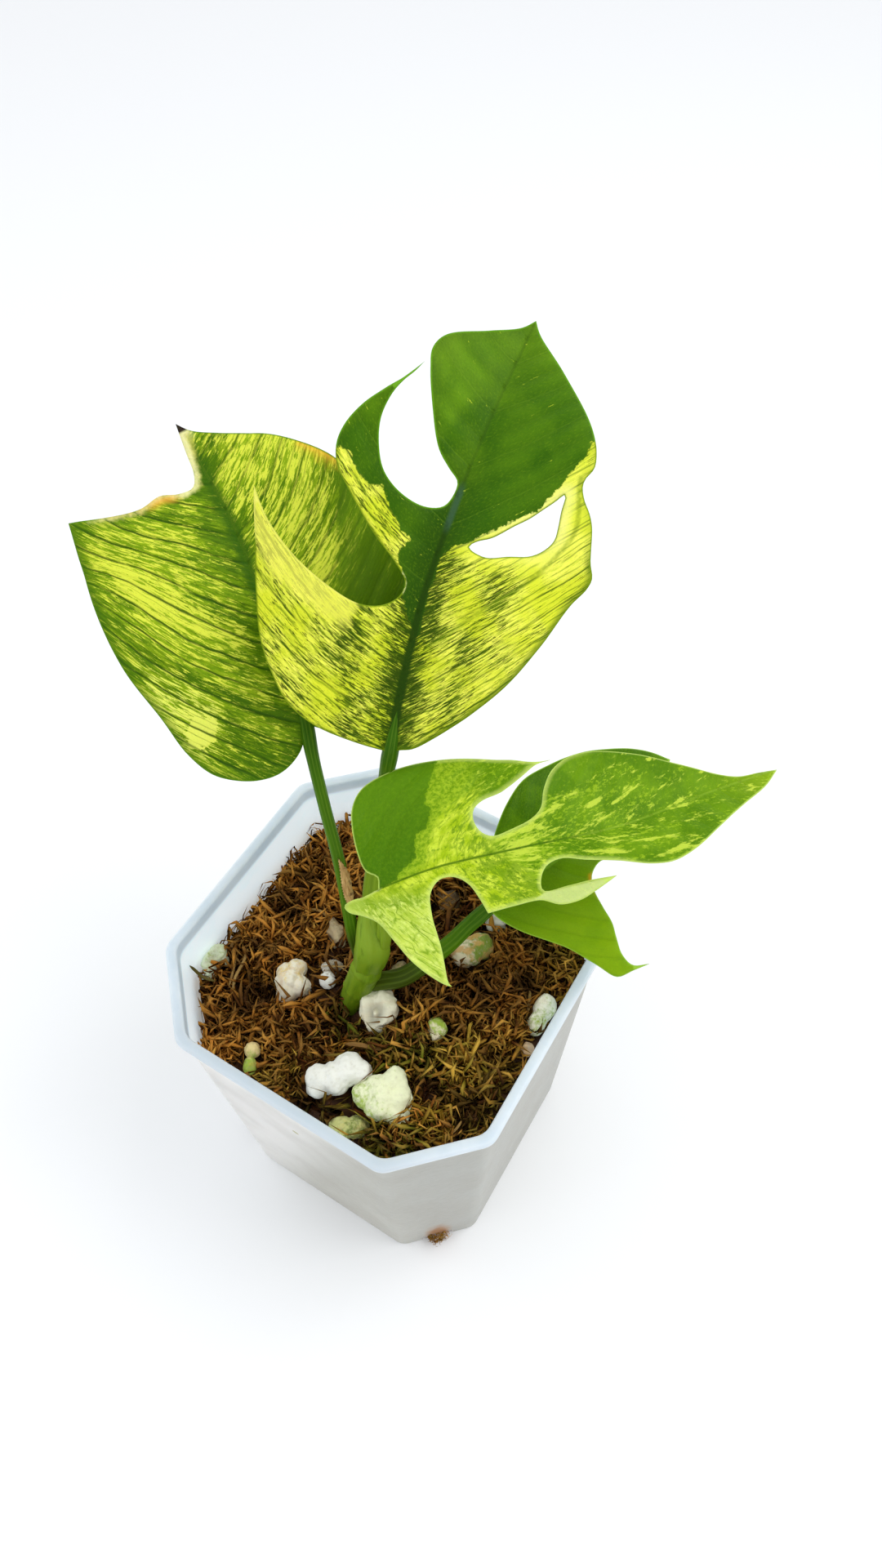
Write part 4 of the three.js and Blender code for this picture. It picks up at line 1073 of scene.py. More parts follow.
def make_stalk(name, leaf, sheath_mm, pale_mm, shade_mm):
    """A leaf's stalk: a sheath over its first millimetres, a paler skin up to a height, and painted shade up
    to another.
    """
    path, bare = stalk_path(leaf)
    stops = np.linspace(0, bare, len(leaf["radii"]))
    total = along(path)[-1]
    stops = np.append(stops, [bare + 5, total])
    radii = np.append(leaf["radii"], [1.05, 0.45])

    def radius_at(distance):
        swollen = 1 + 0.14 * np.exp(-(((distance - bare + 3) / 4) ** 2))
        return np.interp(distance, stops, radii) * swollen

    def profile(angle, distance):
        sheath = np.clip(1 - distance / sheath_mm, 0, 1) ** 0.5 if sheath_mm else 0 * distance
        groove = (0.13 + 0.16 * sheath) * np.exp(-((angle / 0.34) ** 2))
        shoulder = (0.05 + 0.2 * sheath) * np.exp(-(((np.abs(angle) - 0.75) / 0.24) ** 2))
        ribs = 0.014 * np.cos(11 * angle)
        return 1 - groove + shoulder + ribs

    points, faces, values = ring_bar(path, radius_at, np.array(leaf["facing"]), profile)
    values["share"] = values["along"] / bare
    values["pale"] = np.full(len(points), pale_mm)
    values["shade"] = np.clip(1 - values["along"] / shade_mm, 0, 1)
    made = new_piece(name, points, faces, values)
    print(name, round(bare, 1), "mm to the blade")
    return made


# %% Stalks, with their finish
bench = new_material("green stalk", Roughness=0.42, Subsurface_Weight=0.1, Subsurface_Scale=0.0015, IOR=1.42,
                     Specular_IOR_Level=0.1, Subsurface_Radius=(0.6, 1.0, 0.2))
around, height = bench.value("around"), bench.value("along")
fibre_place = bench.join(bench.math("SINE", around) * 9, bench.math("COSINE", around) * 9, height * 0.22)
fibres = fibre_place.noise(1, 4, 0.6)
above_pale = height - bench.value("pale")
colour = bench.mix(above_pale.rise(-8, 6), (132, 162, 36), (72, 114, 6))
groove = abs(around).fall(0.1, 0.4, 0.25)
specks = fibre_place.noise(3.1, 2).rise(0.66, 0.72, 0, 0.35)
ridges = bench.math("SINE", around * 11).rise(0.1, 0.9, 0, 0.1)
colour = colour.coats(
    (bench.value("share").rise(0.6, 1), (50, 92, 4)),
    (fibres.rise(0.5, 0.74, 0, 0.45), (108, 146, 30)),
    (groove, (52, 92, 6)),
    (specks, (96, 92, 36)),
    # Painted shade: dark olive on the lowest part of a stalk that stands in the shade of the leaves.
    (bench.value("shade").rise(0, 0.5, 0, 0.75), (58, 62, 18)),
    (ridges, (158, 188, 66)),
)
bench.finish(colour)
bench.bump(fibres, 0.15, 0.6)

# For each leaf: how far the sheath, the pale skin and the painted shade go up its stalk, in mm, and its slot.
STALKS = {
    "leaf_tall": (26, 70, 1, "leaf_mottled"), "leaf_left": (14, 2, 24, "leaf_mottled"),
    "leaf_front": (24, 60, 1, "leaf_splashed"), "leaf_low": (8, 4, 26, "leaf_green"),
}
for leaf_name, (*lengths, slot) in STALKS.items():
    fit(make_stalk(f"{leaf_name}_stalk", LEAVES[leaf_name], *lengths), leaf_name, slot, bench.material)


# %% The stem, with its nodes
STEM = {
    "path": [(-6, -14.5, 70), (-5, -12.2, 78), (-3.7, -9.6, 85.6), (-2.3, -7.2, 93), (-1.1, -4.9, 99),
             (-0.7, -4.2, 102)],
    "radii": [1.4, 2.8, 3.1, 3.5, 3.7, 2.8],
}
stem_path = smooth_path(STEM["path"])
stem_length = along(stem_path)[-1]
NODE_PLACES = (12.0, 19.5, 27.0, 31.5)
STEM_LOOK = np.array([0.4, -0.8, 0.4])


def stem_radius(distance):
    swell = sum(np.exp(-(((distance - place) / 0.9) ** 2)) for place in NODE_PLACES)
    return tapered(distance, stem_length, STEM["radii"]) * (1 + 0.05 * swell)


def stem_profile(angle, distance):
    return 1 + 0.03 * np.cos(7 * angle + 0.1 * distance) + 0.04 * np.cos(3 * angle + 1)


stem = new_piece("stem_grown", *ring_bar(stem_path, stem_radius, STEM_LOOK, stem_profile, 32, 0.6))
print("stem:", round(stem_length, 1), "mm")

# %% The sheath that joins the stalks to the stem
JOINT = {
    "path": [(-2.2, -6.6, 93.5), (-1.6, -5.3, 97.5), (-1, -4.2, 102.5), (-1, -3.4, 107), (-1.8, -2.4, 112),
             (-3.1, -0.4, 118)],
    "radii": [2.8, 3.8, 4.2, 3.8, 2.9, 1.7],
}
joint_path = smooth_path(JOINT["path"])
joint_length = along(joint_path)[-1]


def joint_radius(distance):
    return tapered(distance, joint_length, JOINT["radii"])


def joint_profile(angle, distance):
    lip = 0.05 * np.exp(-(((angle - 0.5 - 0.03 * distance) / 0.22) ** 2))
    return 1 + lip + 0.02 * np.cos(9 * angle) + 0 * distance


points, faces, values = ring_bar(joint_path, joint_radius, STEM_LOOK, joint_profile, 36, 0.6)
values["along"] += 27.0  # as far up the stem as the joint starts, so that one finish suits both
joint = new_piece("stem_sheath", points, faces, values)
print("sheath round the stem's head:", len(faces), "faces")

# %% Stem finish
bench = new_material("green stem", Roughness=0.42, Subsurface_Weight=0.1, Subsurface_Scale=0.0015,
                     Specular_IOR_Level=0.12)
around, height = bench.value("around"), bench.value("along")
fibres = bench.join(around * 2.5, height * 0.16).noise(1, 4, 0.6)
colour = bench.mix(height.rise(16, 30), (86, 112, 10), (104, 136, 18))
colour = colour.coats(
    (height.rise(34, 44), (142, 172, 48)),
    (abs(around - 1.1).fall(0.3, 1.2, 0.5), (134, 168, 44)),
    (fibres.rise(0.4, 0.7, 0, 0.6), (132, 158, 34)),
    (fibres.fall(0.3, 0.45, 0.4), (66, 92, 8)),
)
for node_place in NODE_PLACES:
    ring = abs(height - node_place) + (fibres - 0.5) * 2.4
    colour = colour.coats((ring.fall(0.1, 0.6, 0.2), (84, 92, 20)))
bench.finish(colour)
bench.bump(fibres, 0.2, 0.6)
for piece in (stem, joint):
    fit(piece, "stem", "stem", bench.material)


# %% [markdown]
# ## The dry sheath
# When a leaf has opened, the sheath that held it dries to brown paper and stays on the stalk. It is cut
# flat like a blade and rolled round the stalk, with its tip standing a little off, and its fibres run
# lengthwise.

# %% Dry sheath
SHEATH = {"thickness": 0.3, "from": 30.5, "side": np.array([0.9, -0.25, 0.25]), "gap": 0.12}
SHEATH_RUNS = [
    [(0, -0.9), (3, -1.5), (7, -1.3), (10.5, -0.5), (14.5, 0.7)],
    [(14.5, 0.7), (10.5, 0.9), (7, 1.1), (3, 1.0), (0, 0.6)],
    [(0, 0.6), (-0.3, 0), (0, -0.9)],
]
left = LEAVES["leaf_left"]
left_path, left_bare = stalk_path(left)
left_arc = along(left_path)
outline = np.vstack([respaced(smooth_run(run), 0.3) for run in SHEATH_RUNS])
outline = outline + 0.12 * np.sin(outline[:, ::-1] * np.array([9.0, 7.0]))
flat, faces = fill(outline, [], 0.4)
u, v = flat.T
stop = SHEATH["from"] + u
centre = spot_at(stop, left_arc, left_path)
tangent = unit(spot_at(stop + 0.5, left_arc, left_path) - centre)
out = unit(SHEATH["side"] - (tangent @ SHEATH["side"])[:, None] * tangent)
inner = tapered(stop, left_bare, left["radii"]) + SHEATH["gap"]
turn = -v / inner
out = out * np.cos(turn)[:, None] + np.cross(tangent, out) * np.sin(turn)[:, None]
crimp = 0.08 * np.sin(1.9 * u + 2.2 * v) + 0.1 * np.clip((u - 10) / 5, 0, 1) ** 2
shells = [centre + out * (inner + crimp + extra)[:, None] for extra in (SHEATH["thickness"], 0.05)]
values = {"flat": np.tile(np.stack([u, v, 0 * u], axis=1), (2, 1))}
sheath = new_piece("dry_sheath_paper", np.vstack(shells), both_skins(faces, len(flat)), values)
print("dry sheath:", len(sheath.data.polygons), "faces")

# %% Dry sheath finish
bench = new_material("dry sheath", Roughness=0.7)
flat_place = bench.place("flat")
fibres = (flat_place * (0.3, 4, 1)).noise(1, 4, 0.6)
colour = bench.mix(fibres.rise(0.35, 0.7), (214, 174, 108), (160, 114, 52))
colour = colour.coats((flat_place.noise(0.5, 3).rise(0.55, 0.7, 0, 0.8), (98, 62, 30)))
bench.finish(colour)
bench.bump(fibres, 0.2)
fit(sheath, "dry_sheath", "dry_sheath", bench.material)

# %% [markdown]
# ## The pot
# A thin moulded shell with eight sides, a rolled lip with a fine ledge under it, and drain slots at the foot
# of the cut corners. It could be a box with bevels, but the corners are not square and the walls lean, so
# rings of points are lofted from the foot, over the lip, and down inside to the floor. The slots are cut
# with a Boolean, as a mould's side cores would leave them.

# %% Pot numbers, the same as in the CAD source
POT = {"height": 100, "base": (79, 15), "rim": (87.2, 16.7), "wall": 1.2, "floor": 1.6, "ease": 2.0}
LIP = {"overhang": 1.4, "height": 2.0, "ledge": 0.6, "ledge_height": 1.4,
       "outer_round": 0.8, "inner_round": 0.5}
DRAIN = {"width": 9.0, "height": 4.4, "depth": 16.0}

# %% One ring of the pot
def pot_sizes(z):
    """The pot's width and the depth of its cut corners at a height."""
    share = z / POT["height"]
    return (low + (high - low) * share for low, high in zip(POT["base"], POT["rim"]))


def pot_corners(z, inset):
    """The eight corners of a level, moved in from the outside by the inset."""
    width, cut = pot_sizes(z)
    half = width / 2 - inset
    short = half - (cut - (2 - math.sqrt(2)) * inset)
    return np.array([(half, -short), (half, short), (short, half), (-short, half),
                     (-half, short), (-half, -short), (-short, -half), (short, -half)])


def pot_ring(z, inset, bend=6):
    """One ring: eight eased corners, with extra points that keep the flats flat."""
    corners = pot_corners(z, inset)
    ring = []
    for before, corner, after in zip(np.roll(corners, 1, axis=0), corners, np.roll(corners, -1, axis=0)):
        back_way, on_way = unit(before - corner), unit(after - corner)
        start, end = corner + back_way * POT["ease"], corner + on_way * POT["ease"]
        ring.append(start + back_way * 0.5)
        for t in np.linspace(0, 1, bend):
            ring.append((1 - t) ** 2 * start + 2 * t * (1 - t) * corner + t * t * end)
        ring.append(end + on_way * 0.5)
    return [(x, y, z) for x, y in ring]


# %% The pot's section, and its shell
top, wall, inner_floor = POT["height"], POT["wall"], POT["floor"]
ledge, overhang = LIP["ledge"], LIP["overhang"]
under_lip = top - LIP["height"]
under_ledge = under_lip - LIP["ledge_height"]
outer, inner = LIP["outer_round"], LIP["inner_round"]
lip_round = [(top - outer + outer * math.sin(a), outer - overhang - outer * math.cos(a))
             for a in np.linspace(0, math.pi / 2, 6)]
inner_round = [(top - inner + inner * math.cos(a), wall - inner + inner * math.sin(a))
               for a in np.linspace(0, math.pi / 2, 5)]
# Height and inset of each ring, from the foot up the outside, over the lip and down to the inner floor.
SECTION = [
    (0, 1.1), (0.15, 0.55), (0.5, 0.15), (1, 0), (1.6, 0),
    *((z, 0) for z in np.linspace(6, under_ledge - 0.4, 18)),
    (under_ledge, 0), (under_ledge + 0.05, -0.1), (under_ledge + 0.1, 0.1 - ledge),
    (under_ledge + 0.3, -ledge), (under_lip - 0.1, -ledge), (under_lip, -ledge - 0.1),
    (under_lip + 0.05, 0.25 - overhang), (under_lip + 0.3, -overhang), *lip_round, *inner_round,
    *((z, wall) for z in np.linspace(top - 3, inner_floor + 2, 16)),
    (inner_floor + 0.5, wall + 0.1), (inner_floor + 0.1, wall + 0.5), (inner_floor, wall + 1.2),
    (inner_floor, wall + 12), (inner_floor, wall + 26),
]
rings = [pot_ring(z, inset) for z, inset in SECTION]
points = [p for ring in rings for p in ring] + [(0, 0, 0), (0, 0, inner_floor)]
pot = new_piece("pot_shell", points, tube_faces(len(rings), len(rings[0])))
print("pot:", len(rings), "rings of", len(rings[0]), "points")

# %% Drain slots
cutters = bmesh.new()
foot_reach = float(np.linalg.norm(pot_corners(0, 0)[1:3].mean(axis=0)))  # to the foot of a cut corner
size = Matrix.Diagonal((DRAIN["depth"] * MM, DRAIN["width"] * MM, 2 * DRAIN["height"] * MM, 1))
for eighth in (1, 3, 5, 7):
    made = bmesh.ops.create_cube(cutters, size=1.0)["verts"]
    turn = Matrix.Rotation(eighth * math.pi / 4, 4, "Z")
    place = turn @ Matrix.Translation((foot_reach * MM, 0, 0)) @ size
    bmesh.ops.transform(cutters, matrix=place, verts=made)
bmesh.ops.bevel(cutters, geom=cutters.edges[:], offset=0.6 * MM, segments=3, affect="EDGES", profile=0.5)
slot_mesh = bpy.data.meshes.new("slot cutters")
cutters.to_mesh(slot_mesh)
cutters.free()
slot_cutter = bpy.data.objects.new("slot cutters", slot_mesh)
scene.collection.objects.link(slot_cutter)
cut = pot.modifiers.new("slots", "BOOLEAN")
cut.operation = "DIFFERENCE"
cut.solver = "EXACT"
cut.object = slot_cutter

# %% Slots cut, and the mesh made plain
def settle(piece):
    """Replaces a piece's mesh by what its modifiers make of it, and takes them off."""
    graph = bpy.context.evaluated_depsgraph_get()
    mesh = bpy.data.meshes.new_from_object(piece.evaluated_get(graph), depsgraph=graph)
    piece.modifiers.clear()
    piece.data = mesh
    return mesh


settle(pot)
bpy.data.objects.remove(slot_cutter)
smoothed(pot.data)
pot.data.set_sharp_from_angle(angle=math.radians(40))
print("pot:", len(pot.data.polygons), "faces")

# %% [markdown]
# ## Frosted plastic
# The pot is clear plastic with a misty skin: it glows a little where it is thick, as in the lip, and greys
# where moss stands behind the wall. Real refraction through two thin walls costs much and shows little, so
# the mist is a milky colour with light scattered inside it, and fine scuffs in the roughness. The inner
# faces give off a weak light of their own, for what the wall lets through, and the colour of moss shows
# round the front slot.

# %% Pot finish
bench = new_material("frosted plastic", Roughness=0.38, IOR=1.46, Specular_IOR_Level=0.3,
                     Subsurface_Weight=0.9, Subsurface_Scale=0.005, Subsurface_Radius=(0.9, 1.0, 1.1),
                     Emission_Strength=0.25)
spot, in_mm = bench.wire("ShaderNodeTexCoord", output="Object"), bench.in_mm()
x, y, z = spot.parts()
mottle = in_mm.noise(0.09, 4, 0.6)
facing = bench.wire("ShaderNodeNewGeometry", output="Normal")
outside = bench.vector("DOT_PRODUCT", facing, spot * (1, 1, 0), output="Value").rise(-0.01, 0.01)

# The outer face: paler on the left, painted light that comes through the wall, greyer on the right, moss at
# the front slot, one stray fleck.
slot_side = (in_mm * (1, 1, 0.4)).away((32.8, -32.8, 2.8)) + (in_mm.noise(0.4, 3) - 0.5) * 3
outer = bench.mix(z.rise(0, 0.05), (184, 183, 173), (176, 176, 166)).coats(
    ((z * 0.35 - x).rise(0.006, 0.034) * y.rise(-0.02, 0.02, 1, 0.3), (244, 246, 242)),
    (x.rise(0.018, 0.036), (168, 169, 162)),
    (in_mm.noise(0.05, 2, 0.5).rise(0.35, 0.7, 0, 0.35), (156, 152, 142)),
    (slot_side.fall(1.2, 5, 0.85), (160, 102, 42)),
    (in_mm.away((0.3, -42.65, 74.5)).fall(0.7, 1.1, 0.9), (150, 146, 50)),
)
inner = bench.mix(mottle.rise(0.4, 0.7), (238, 249, 255), (228, 242, 252))
inner = inner.coats((z.fall(0.08, 0.088, 0.5), (214, 204, 188)))
lip = bench.mix(mottle.rise(0.35, 0.65), (199, 210, 220), (209, 218, 227))
# Painted shade: the front of the lip is darker.
lip = lip.coats((y.fall(-0.045, -0.03, 0.7), (184, 192, 198)))
bench.finish(inner.coats((outside, outer), (z.rise(0.0945, 0.0975), lip)))

# Light that comes through the wall: on the inner faces only, and not on the lip.
glow = bench.mix(z.rise(0.079, 0.09), (196, 172, 136), (214, 232, 246))
unlit = bench.math("MAXIMUM", outside, z.rise(0.0955, 0.097))
bench.finish(glow.coats((unlit, (0, 0, 0))), "Emission Color")
scuffs = (in_mm * (0.6, 0.6, 3)).noise(0.8, 5, 0.7)
bench.finish(scuffs.rise(0.35, 0.7, 0.32, 0.48), "Roughness")
bench.bump(in_mm.noise(1.2, 3), 0.05, 0.4)
pot.data.materials.clear()
fit(pot, "pot", "pot_plastic", bench.material)

# %% [markdown]
# ## Pumice
# Pumice is stone froth: a lump is knobbly, with small pits where bubbles broke open, chalk white when dry
# and stained cream, rust or algae green where it has stayed wet. A ball is pushed into each lump's rough
# form, the same as in the CAD source, then roughened with noise and pitted. Single lumps get their own
# dents and knobs.

# %% Stone numbers: x, y, over the moss, width, depth, height, turn about Z
STONES = [
    (-19.7, -14.3, 1.9, 8.4, 11, 7.5, 32), (-11.9, -9.6, 1.2, 4.4, 4.4, 4.4, 32),
    (3.9, -10.4, 2.2, 8.4, 10.6, 7.5, 32), (4.7, -29.9, 2.2, 15.2, 9, 7.5, 32),
    (17, -28.6, 2.6, 13.5, 12, 8.5, 32), (13.4, -37.8, -0.4, 8.4, 6, 5.4, 32),
    (15.3, 14.4, 1.2, 11, 8.5, 7, 50), (38.4, 7.6, 2.0, 5.6, 10.4, 8.5, 4),
    (-39.4, -20.0, 2.8, 4.6, 8.0, 8, 4), (19.1, -8.1, 1.4, 4.4, 5.4, 4.4, 32),
    (-15.8, -35.6, 0.8, 4.2, 7.4, 4.6, 32), (-18, 2.4, 0.8, 4.2, 8.4, 5, 50),
    (16, 25, 1.2, 6.4, 5.4, 5, 10), (1.8, 25.5, 0.2, 6.4, 6.8, 4.4, 60), (2.6, 0.6, 0.6, 4.4, 5, 3.6, 32),
    (39.6, -1.8, 1.0, 3, 3, 3, 0),
]
# For each: plain colour, stain colour, where the stain sits (a direction), how much of it, how much rust.
WHITE, CREAM, GREY = (250, 250, 242), (246, 236, 202), (204, 198, 184)
ALGAE, MOSSY = (164, 188, 64), (112, 128, 48)
STONE_LOOKS = [
    ((252, 244, 222), (246, 220, 134), (-0.5, 0.7, 0.5), 0.3, 0.3),
    (WHITE, (168, 156, 132), (0, 0.9, -0.3), 0.6, 0), ((244, 240, 214), GREY, (0, 0, -1), 0.15, 0.15),
    (WHITE, CREAM, (-1, 0, 0), 0.1, 0), ((242, 246, 206), (172, 196, 84), (-0.4, -0.5, -0.75), 0.6, 0),
    ((206, 208, 132), MOSSY, (0.5, 0, 0.2), 0.45, 0.2),
    ((244, 232, 200), (132, 156, 48), (0.9, 0.5, 0.1), 0.75, 0.8),
    ((252, 252, 232), ALGAE, (0.3, -0.6, 0.4), 0.35, 0.1),
    ((236, 246, 212), ALGAE, (0.4, 0.2, 0.4), 0.25, 0), ((160, 188, 56), CREAM, (0, -1, 0.2), 0.5, 0),
    ((238, 216, 150), ALGAE, (0.5, -0.85, 0), 0.75, 0.3),
    ((186, 168, 132), (110, 88, 56), (0, 1, -0.6), 0.5, 0.3), ((224, 224, 212), GREY, (0, 1, 0), 0.3, 0),
    ((124, 96, 64), (80, 60, 36), (0, 1, 0), 0.6, 0.1), ((190, 172, 132), MOSSY, (1, 0, 0), 0.4, 0.2),
    ((214, 182, 148), GREY, (0, 0, 1), 0.2, 0.5),
]

# %% Stones made of lobes, and single dents and knobs
# Lumps that grew together from several: each lobe's middle and radii in mm, with X to the right and Y back.
STONE_LOBES = {
    1: [((-0.4, 0, 0), (3.6, 3.6, 3.5)), ((1.2, 3.2, 0.6), (2.5, 2.2, 2.9)),
        ((-1.2, -3.2, -0.4), (2.5, 2.4, 3.0)), ((2.4, -1.6, 0), (2.2, 2.4, 2.9)),
        ((-2.0, 2.6, 0), (1.7, 1.9, 2.4))],
    2: [((0, -0.5, 0), (2.1, 2.2, 2.2)), ((0.9, 3.4, -0.7), (2.9, 1.7, 1.6))],
    4: [((0, -0.4, 0), (3.9, 3.8, 3.6)), ((3.2, 1.7, 0.3), (4.0, 3.8, 3.7)),
        ((5.7, 0.3, 0), (2.3, 2.6, 3.0)), ((-3.8, -0.4, -0.2), (3.2, 3.4, 3.2)),
        ((-4.0, -3.0, -0.4), (2.0, 1.7, 2.2))],
    5: [((0, 0, 0), (4.3, 4.2, 3.9)), ((2.6, 3.6, 1.4), (2.6, 2.9, 3.0)),
        ((-4.2, 0.5, -0.3), (2.7, 2.9, 2.8)), ((-1.5, 2.2, 0.4), (3.4, 2.6, 3.2)),
        ((-0.2, -2.4, 0), (3.6, 2.9, 3.2)), ((3.2, -4.2, 0), (2.4, 2.5, 2.9)),
        ((3.9, -0.8, 0.4), (2.7, 3.6, 3.0))],
    6: [((-1.6, 0, 0), (3.0, 2.9, 2.7)), ((2.0, 0.3, -0.2), (2.8, 2.7, 2.4))],
    7: [((-1.4, 0, 0), (4.2, 3.8, 3.2)), ((2.8, 0.4, 0), (3.0, 3.5, 3.2))],
    8: [((0, 1.6, 0.6), (2.6, 3.4, 3.8)), ((-0.3, -2.4, -0.4), (2.3, 2.9, 3.2))],
    11: [((0, 1.8, 0.2), (2.0, 1.9, 2.2)), ((-0.3, -1.8, -0.3), (1.6, 2.2, 1.9))],
}
# Hollows and knobs: direction from the lump's middle, reach (radians), height in mm.
STONE_FORMS = {
    3: [((0.08, -0.45, 0.89), 0.55, -1.7), ((0.09, -0.74, 0.73), 0.5, -1.6),
        ((0.07, -0.58, 0.81), 0.33, 3.4), ((0.7, 0.25, 0.6), 0.3, 0.5)],
    5: [((0.8, 0.3, 0.5), 0.3, 0.4)],
    9: [((0.2, 0.2, 0.95), 0.6, -0.6)],
}

# %% Where the moss's top is, and how a lump is shaped
def moss_height(x, y):
    """The moss's top, as in the CAD source."""
    relief = (np.sin(0.23 * x + 1.1) * np.cos(0.19 * y - 0.6) + 0.6 * np.sin(0.47 * x - 0.41 * y + 2)
              + 0.4 * np.cos(0.33 * x + 0.59 * y))
    return 84.5 + 0.1 * x - 0.04 * y + 1.1 * relief


BOXY = 2.15  # 2 makes an ellipsoid, more makes it squarer
LOBE_BLEND = 7  # the higher, the sharper the valley between two lobes


def reach_of(way, middle, radii):
    """How far from the lump's middle each direction meets the far side of a lobe (0 where it misses)."""
    w, m = way / radii, middle / radii
    a, b, c = (w**2).sum(axis=1), -2 * w @ m, m @ m - 1
    inside = np.clip(b * b - 4 * a * c, 0, None)
    return np.where(b * b > 4 * a * c, np.clip((-b + np.sqrt(inside)) / (2 * a), 0, None), 0)


# %% One lump of pumice
def make_lump(number, row):
    """One lump: a ball pushed to its form, spun about Z, roughened and pitted, and set down in the moss."""
    x, y, over, width, depth, height, turn = row
    ball = bmesh.new()
    bmesh.ops.create_icosphere(ball, subdivisions=5 if max(width, depth) >= 7 else 4, radius=1)
    way = np.array([v.co.normalized() for v in ball.verts])
    faces = [tuple(v.index for v in f.verts) for f in ball.faces]
    ball.free()
    i = number - 1
    knobs = (1 + 0.11 * np.sin(3.1 * way[:, 0] + 2.3 * way[:, 2] + 1.7 * i)
             + 0.08 * np.sin(4.7 * way[:, 1] - 2.9 * way[:, 0] + 2.6 * i)
             + 0.05 * np.cos(6.1 * way[:, 2] + 5.3 * way[:, 1] + 0.9 * i))
    boxy = (np.abs(way) ** BOXY).sum(axis=1) ** (-1 / BOXY)
    points = way * np.array([width, depth, height]) * 0.5 * (knobs * boxy)[:, None]
    if number in STONE_LOBES:
        reaches = [reach_of(way, np.array(middle), np.array(radii)) for middle, radii in STONE_LOBES[number]]
        points = way * (sum(reach**LOBE_BLEND for reach in reaches) ** (1 / LOBE_BLEND))[:, None]
    angle = math.radians(turn)
    spin = np.array([(math.cos(angle), -math.sin(angle), 0), (math.sin(angle), math.cos(angle), 0),
                     (0, 0, 1)])
    spun = way @ spin.T
    lift = np.zeros(len(way))
    for direction, reach, rise in STONE_FORMS.get(number, []):
        off = np.arccos(np.clip(spun @ unit(np.array(direction)), -1, 1))
        lift += rise * np.exp(-((off / reach) ** (2 if rise > 0 else 4)))
    # How far a place lies in a hollow, for the painted shade there.
    sunk = np.clip(-lift / 1.6, 0, 1)
    size = (width + depth + height) / 3
    pits = np.zeros(len(way))
    for k, p in enumerate(points):
        spot = Vector(p) + Vector((17.0 * i, 5.0, 3.0))
        lift[k] += 0.045 * size * noise.fractal(spot * (3.2 / size), 0.9, 2.1, 5)
        lift[k] += 0.022 * size * noise.noise(spot * (7.5 / size))
        pits[k] = max(0, 1 - noise.voronoi(spot * 0.85)[0][0] / 0.42)
    points = points + way * (lift - 0.14 * pits**0.7)[:, None]
    points = points @ spin.T + np.array([x, y, moss_height(x, y) + over])
    plain, stain, direction, amount, rust = STONE_LOOKS[i]
    bottom = np.clip((moss_height(x, y) + 0.6 - points[:, 2]) / 2.0, 0, 1)
    values = {
        "plain": np.tile(paint(*plain)[:3], (len(way), 1)),
        "stain": np.tile(paint(*stain)[:3], (len(way), 1)),
        "stained": amount * (0.5 + 0.5 * spun @ unit(np.array(direction))) * 1.6,
        "pits": pits, "buried": bottom, "rust": np.full(len(way), rust), "sunk": sunk,
    }
    return new_piece(f"pumice_{number:02d}_lump", points, faces, values)


# %% Pumice finish
bench = new_material("pumice", Roughness=0.88)
in_mm = bench.in_mm()
grain = in_mm.noise(0.9, 5, 0.65)
fine = in_mm.noise(3.4, 4, 0.7)
ragged = bench.value("stained") + (grain - 0.5) * 2.2
colour = bench.mix(ragged.rise(0.25, 0.95), bench.place("plain"), bench.place("stain"))
rusty = in_mm.noise(0.3, 3).rise(0.48, 0.6) * bench.value("rust")
colour = colour.coats(
    (rusty, (222, 172, 96)),
    # Painted shade: the hollows are greyed.
    (bench.value("sunk") * 0.8, (142, 144, 134)),
    (fine.rise(0.45, 0.75, 0, 0.2), (208, 200, 176)),
    (bench.value("pits") * 0.35, (176, 166, 140)),
    (bench.value("buried") * 0.75, (110, 92, 52)),
)
bench.finish(colour)
bench.bump(fine + grain, 0.16, 0.7)

for number, row in enumerate(STONES, 1):
    fit(make_lump(number, row), f"pumice_{number:02d}", "pumice", bench.material)
print("pumice:", len(STONES), "lumps")

# %% [markdown]
# ## The moss bed
# Sphagnum fills the pot: a springy mass, dark between its strands, higher on one side. The mass itself is a
# closed lump with a rolling top, made as in the CAD source and then roughened, and its dark brown is painted
# shade for the dark between the strands. It stands a little lower than the real surface, because the loose
# strands that cover it bring the height back.

# %% Bed
BED = {"inset": 1.9, "from": 1.9, "level": 85, "sunk": 2.3, "cell": 1.0, "lumps": 0.8}
STEM_SPOT = np.array([-3.7, -10.5])

inner = np.array(pot_ring(BED["level"], BED["inset"], 4))[:, :2]
rim = respaced(np.vstack([inner, inner[:1]]), BED["cell"])
flat, top_faces = fill(rim, [], BED["cell"])


def clump_at(x, y):
    """Where the moss swells into a clump (above 0) and where it parts (below)."""
    return noise.fractal(Vector((x * 0.085, y * 0.085, 4.0)), 0.7, 2.1, 3)


lumps = np.array([clump_at(x, y) for x, y in flat])
lumps = (lumps - np.median(lumps)) / lumps.std()
top_z = moss_height(*flat.T) - BED["sunk"] + BED["lumps"] * lumps
rim_top = top_z[:len(rim)]  # the rim's points come first
top_width, _ = pot_sizes(BED["level"])
around = [(k, (k + 1) % len(rim)) for k in range(len(rim))]
points = [*np.column_stack([flat, top_z])]
faces = [*top_faces]
before = 0
for level in np.linspace(0, 1, 12)[1:]:
    z = rim_top + (BED["from"] - rim_top) * level
    width, _ = pot_sizes(z)
    shrink = (width / 2 - BED["inset"]) / (top_width / 2 - BED["inset"])
    start = len(points)
    points += [*np.column_stack([rim * shrink[:, None], z])]
    faces += [(before + m, before + k, start + k, start + m) for k, m in around]
    before = start
faces += [(len(points), before + m, before + k) for k, m in around]
points.append((0, 0, BED["from"]))
bed = new_piece("moss_bed_mass", points, faces)
print("moss bed:", len(faces), "faces")
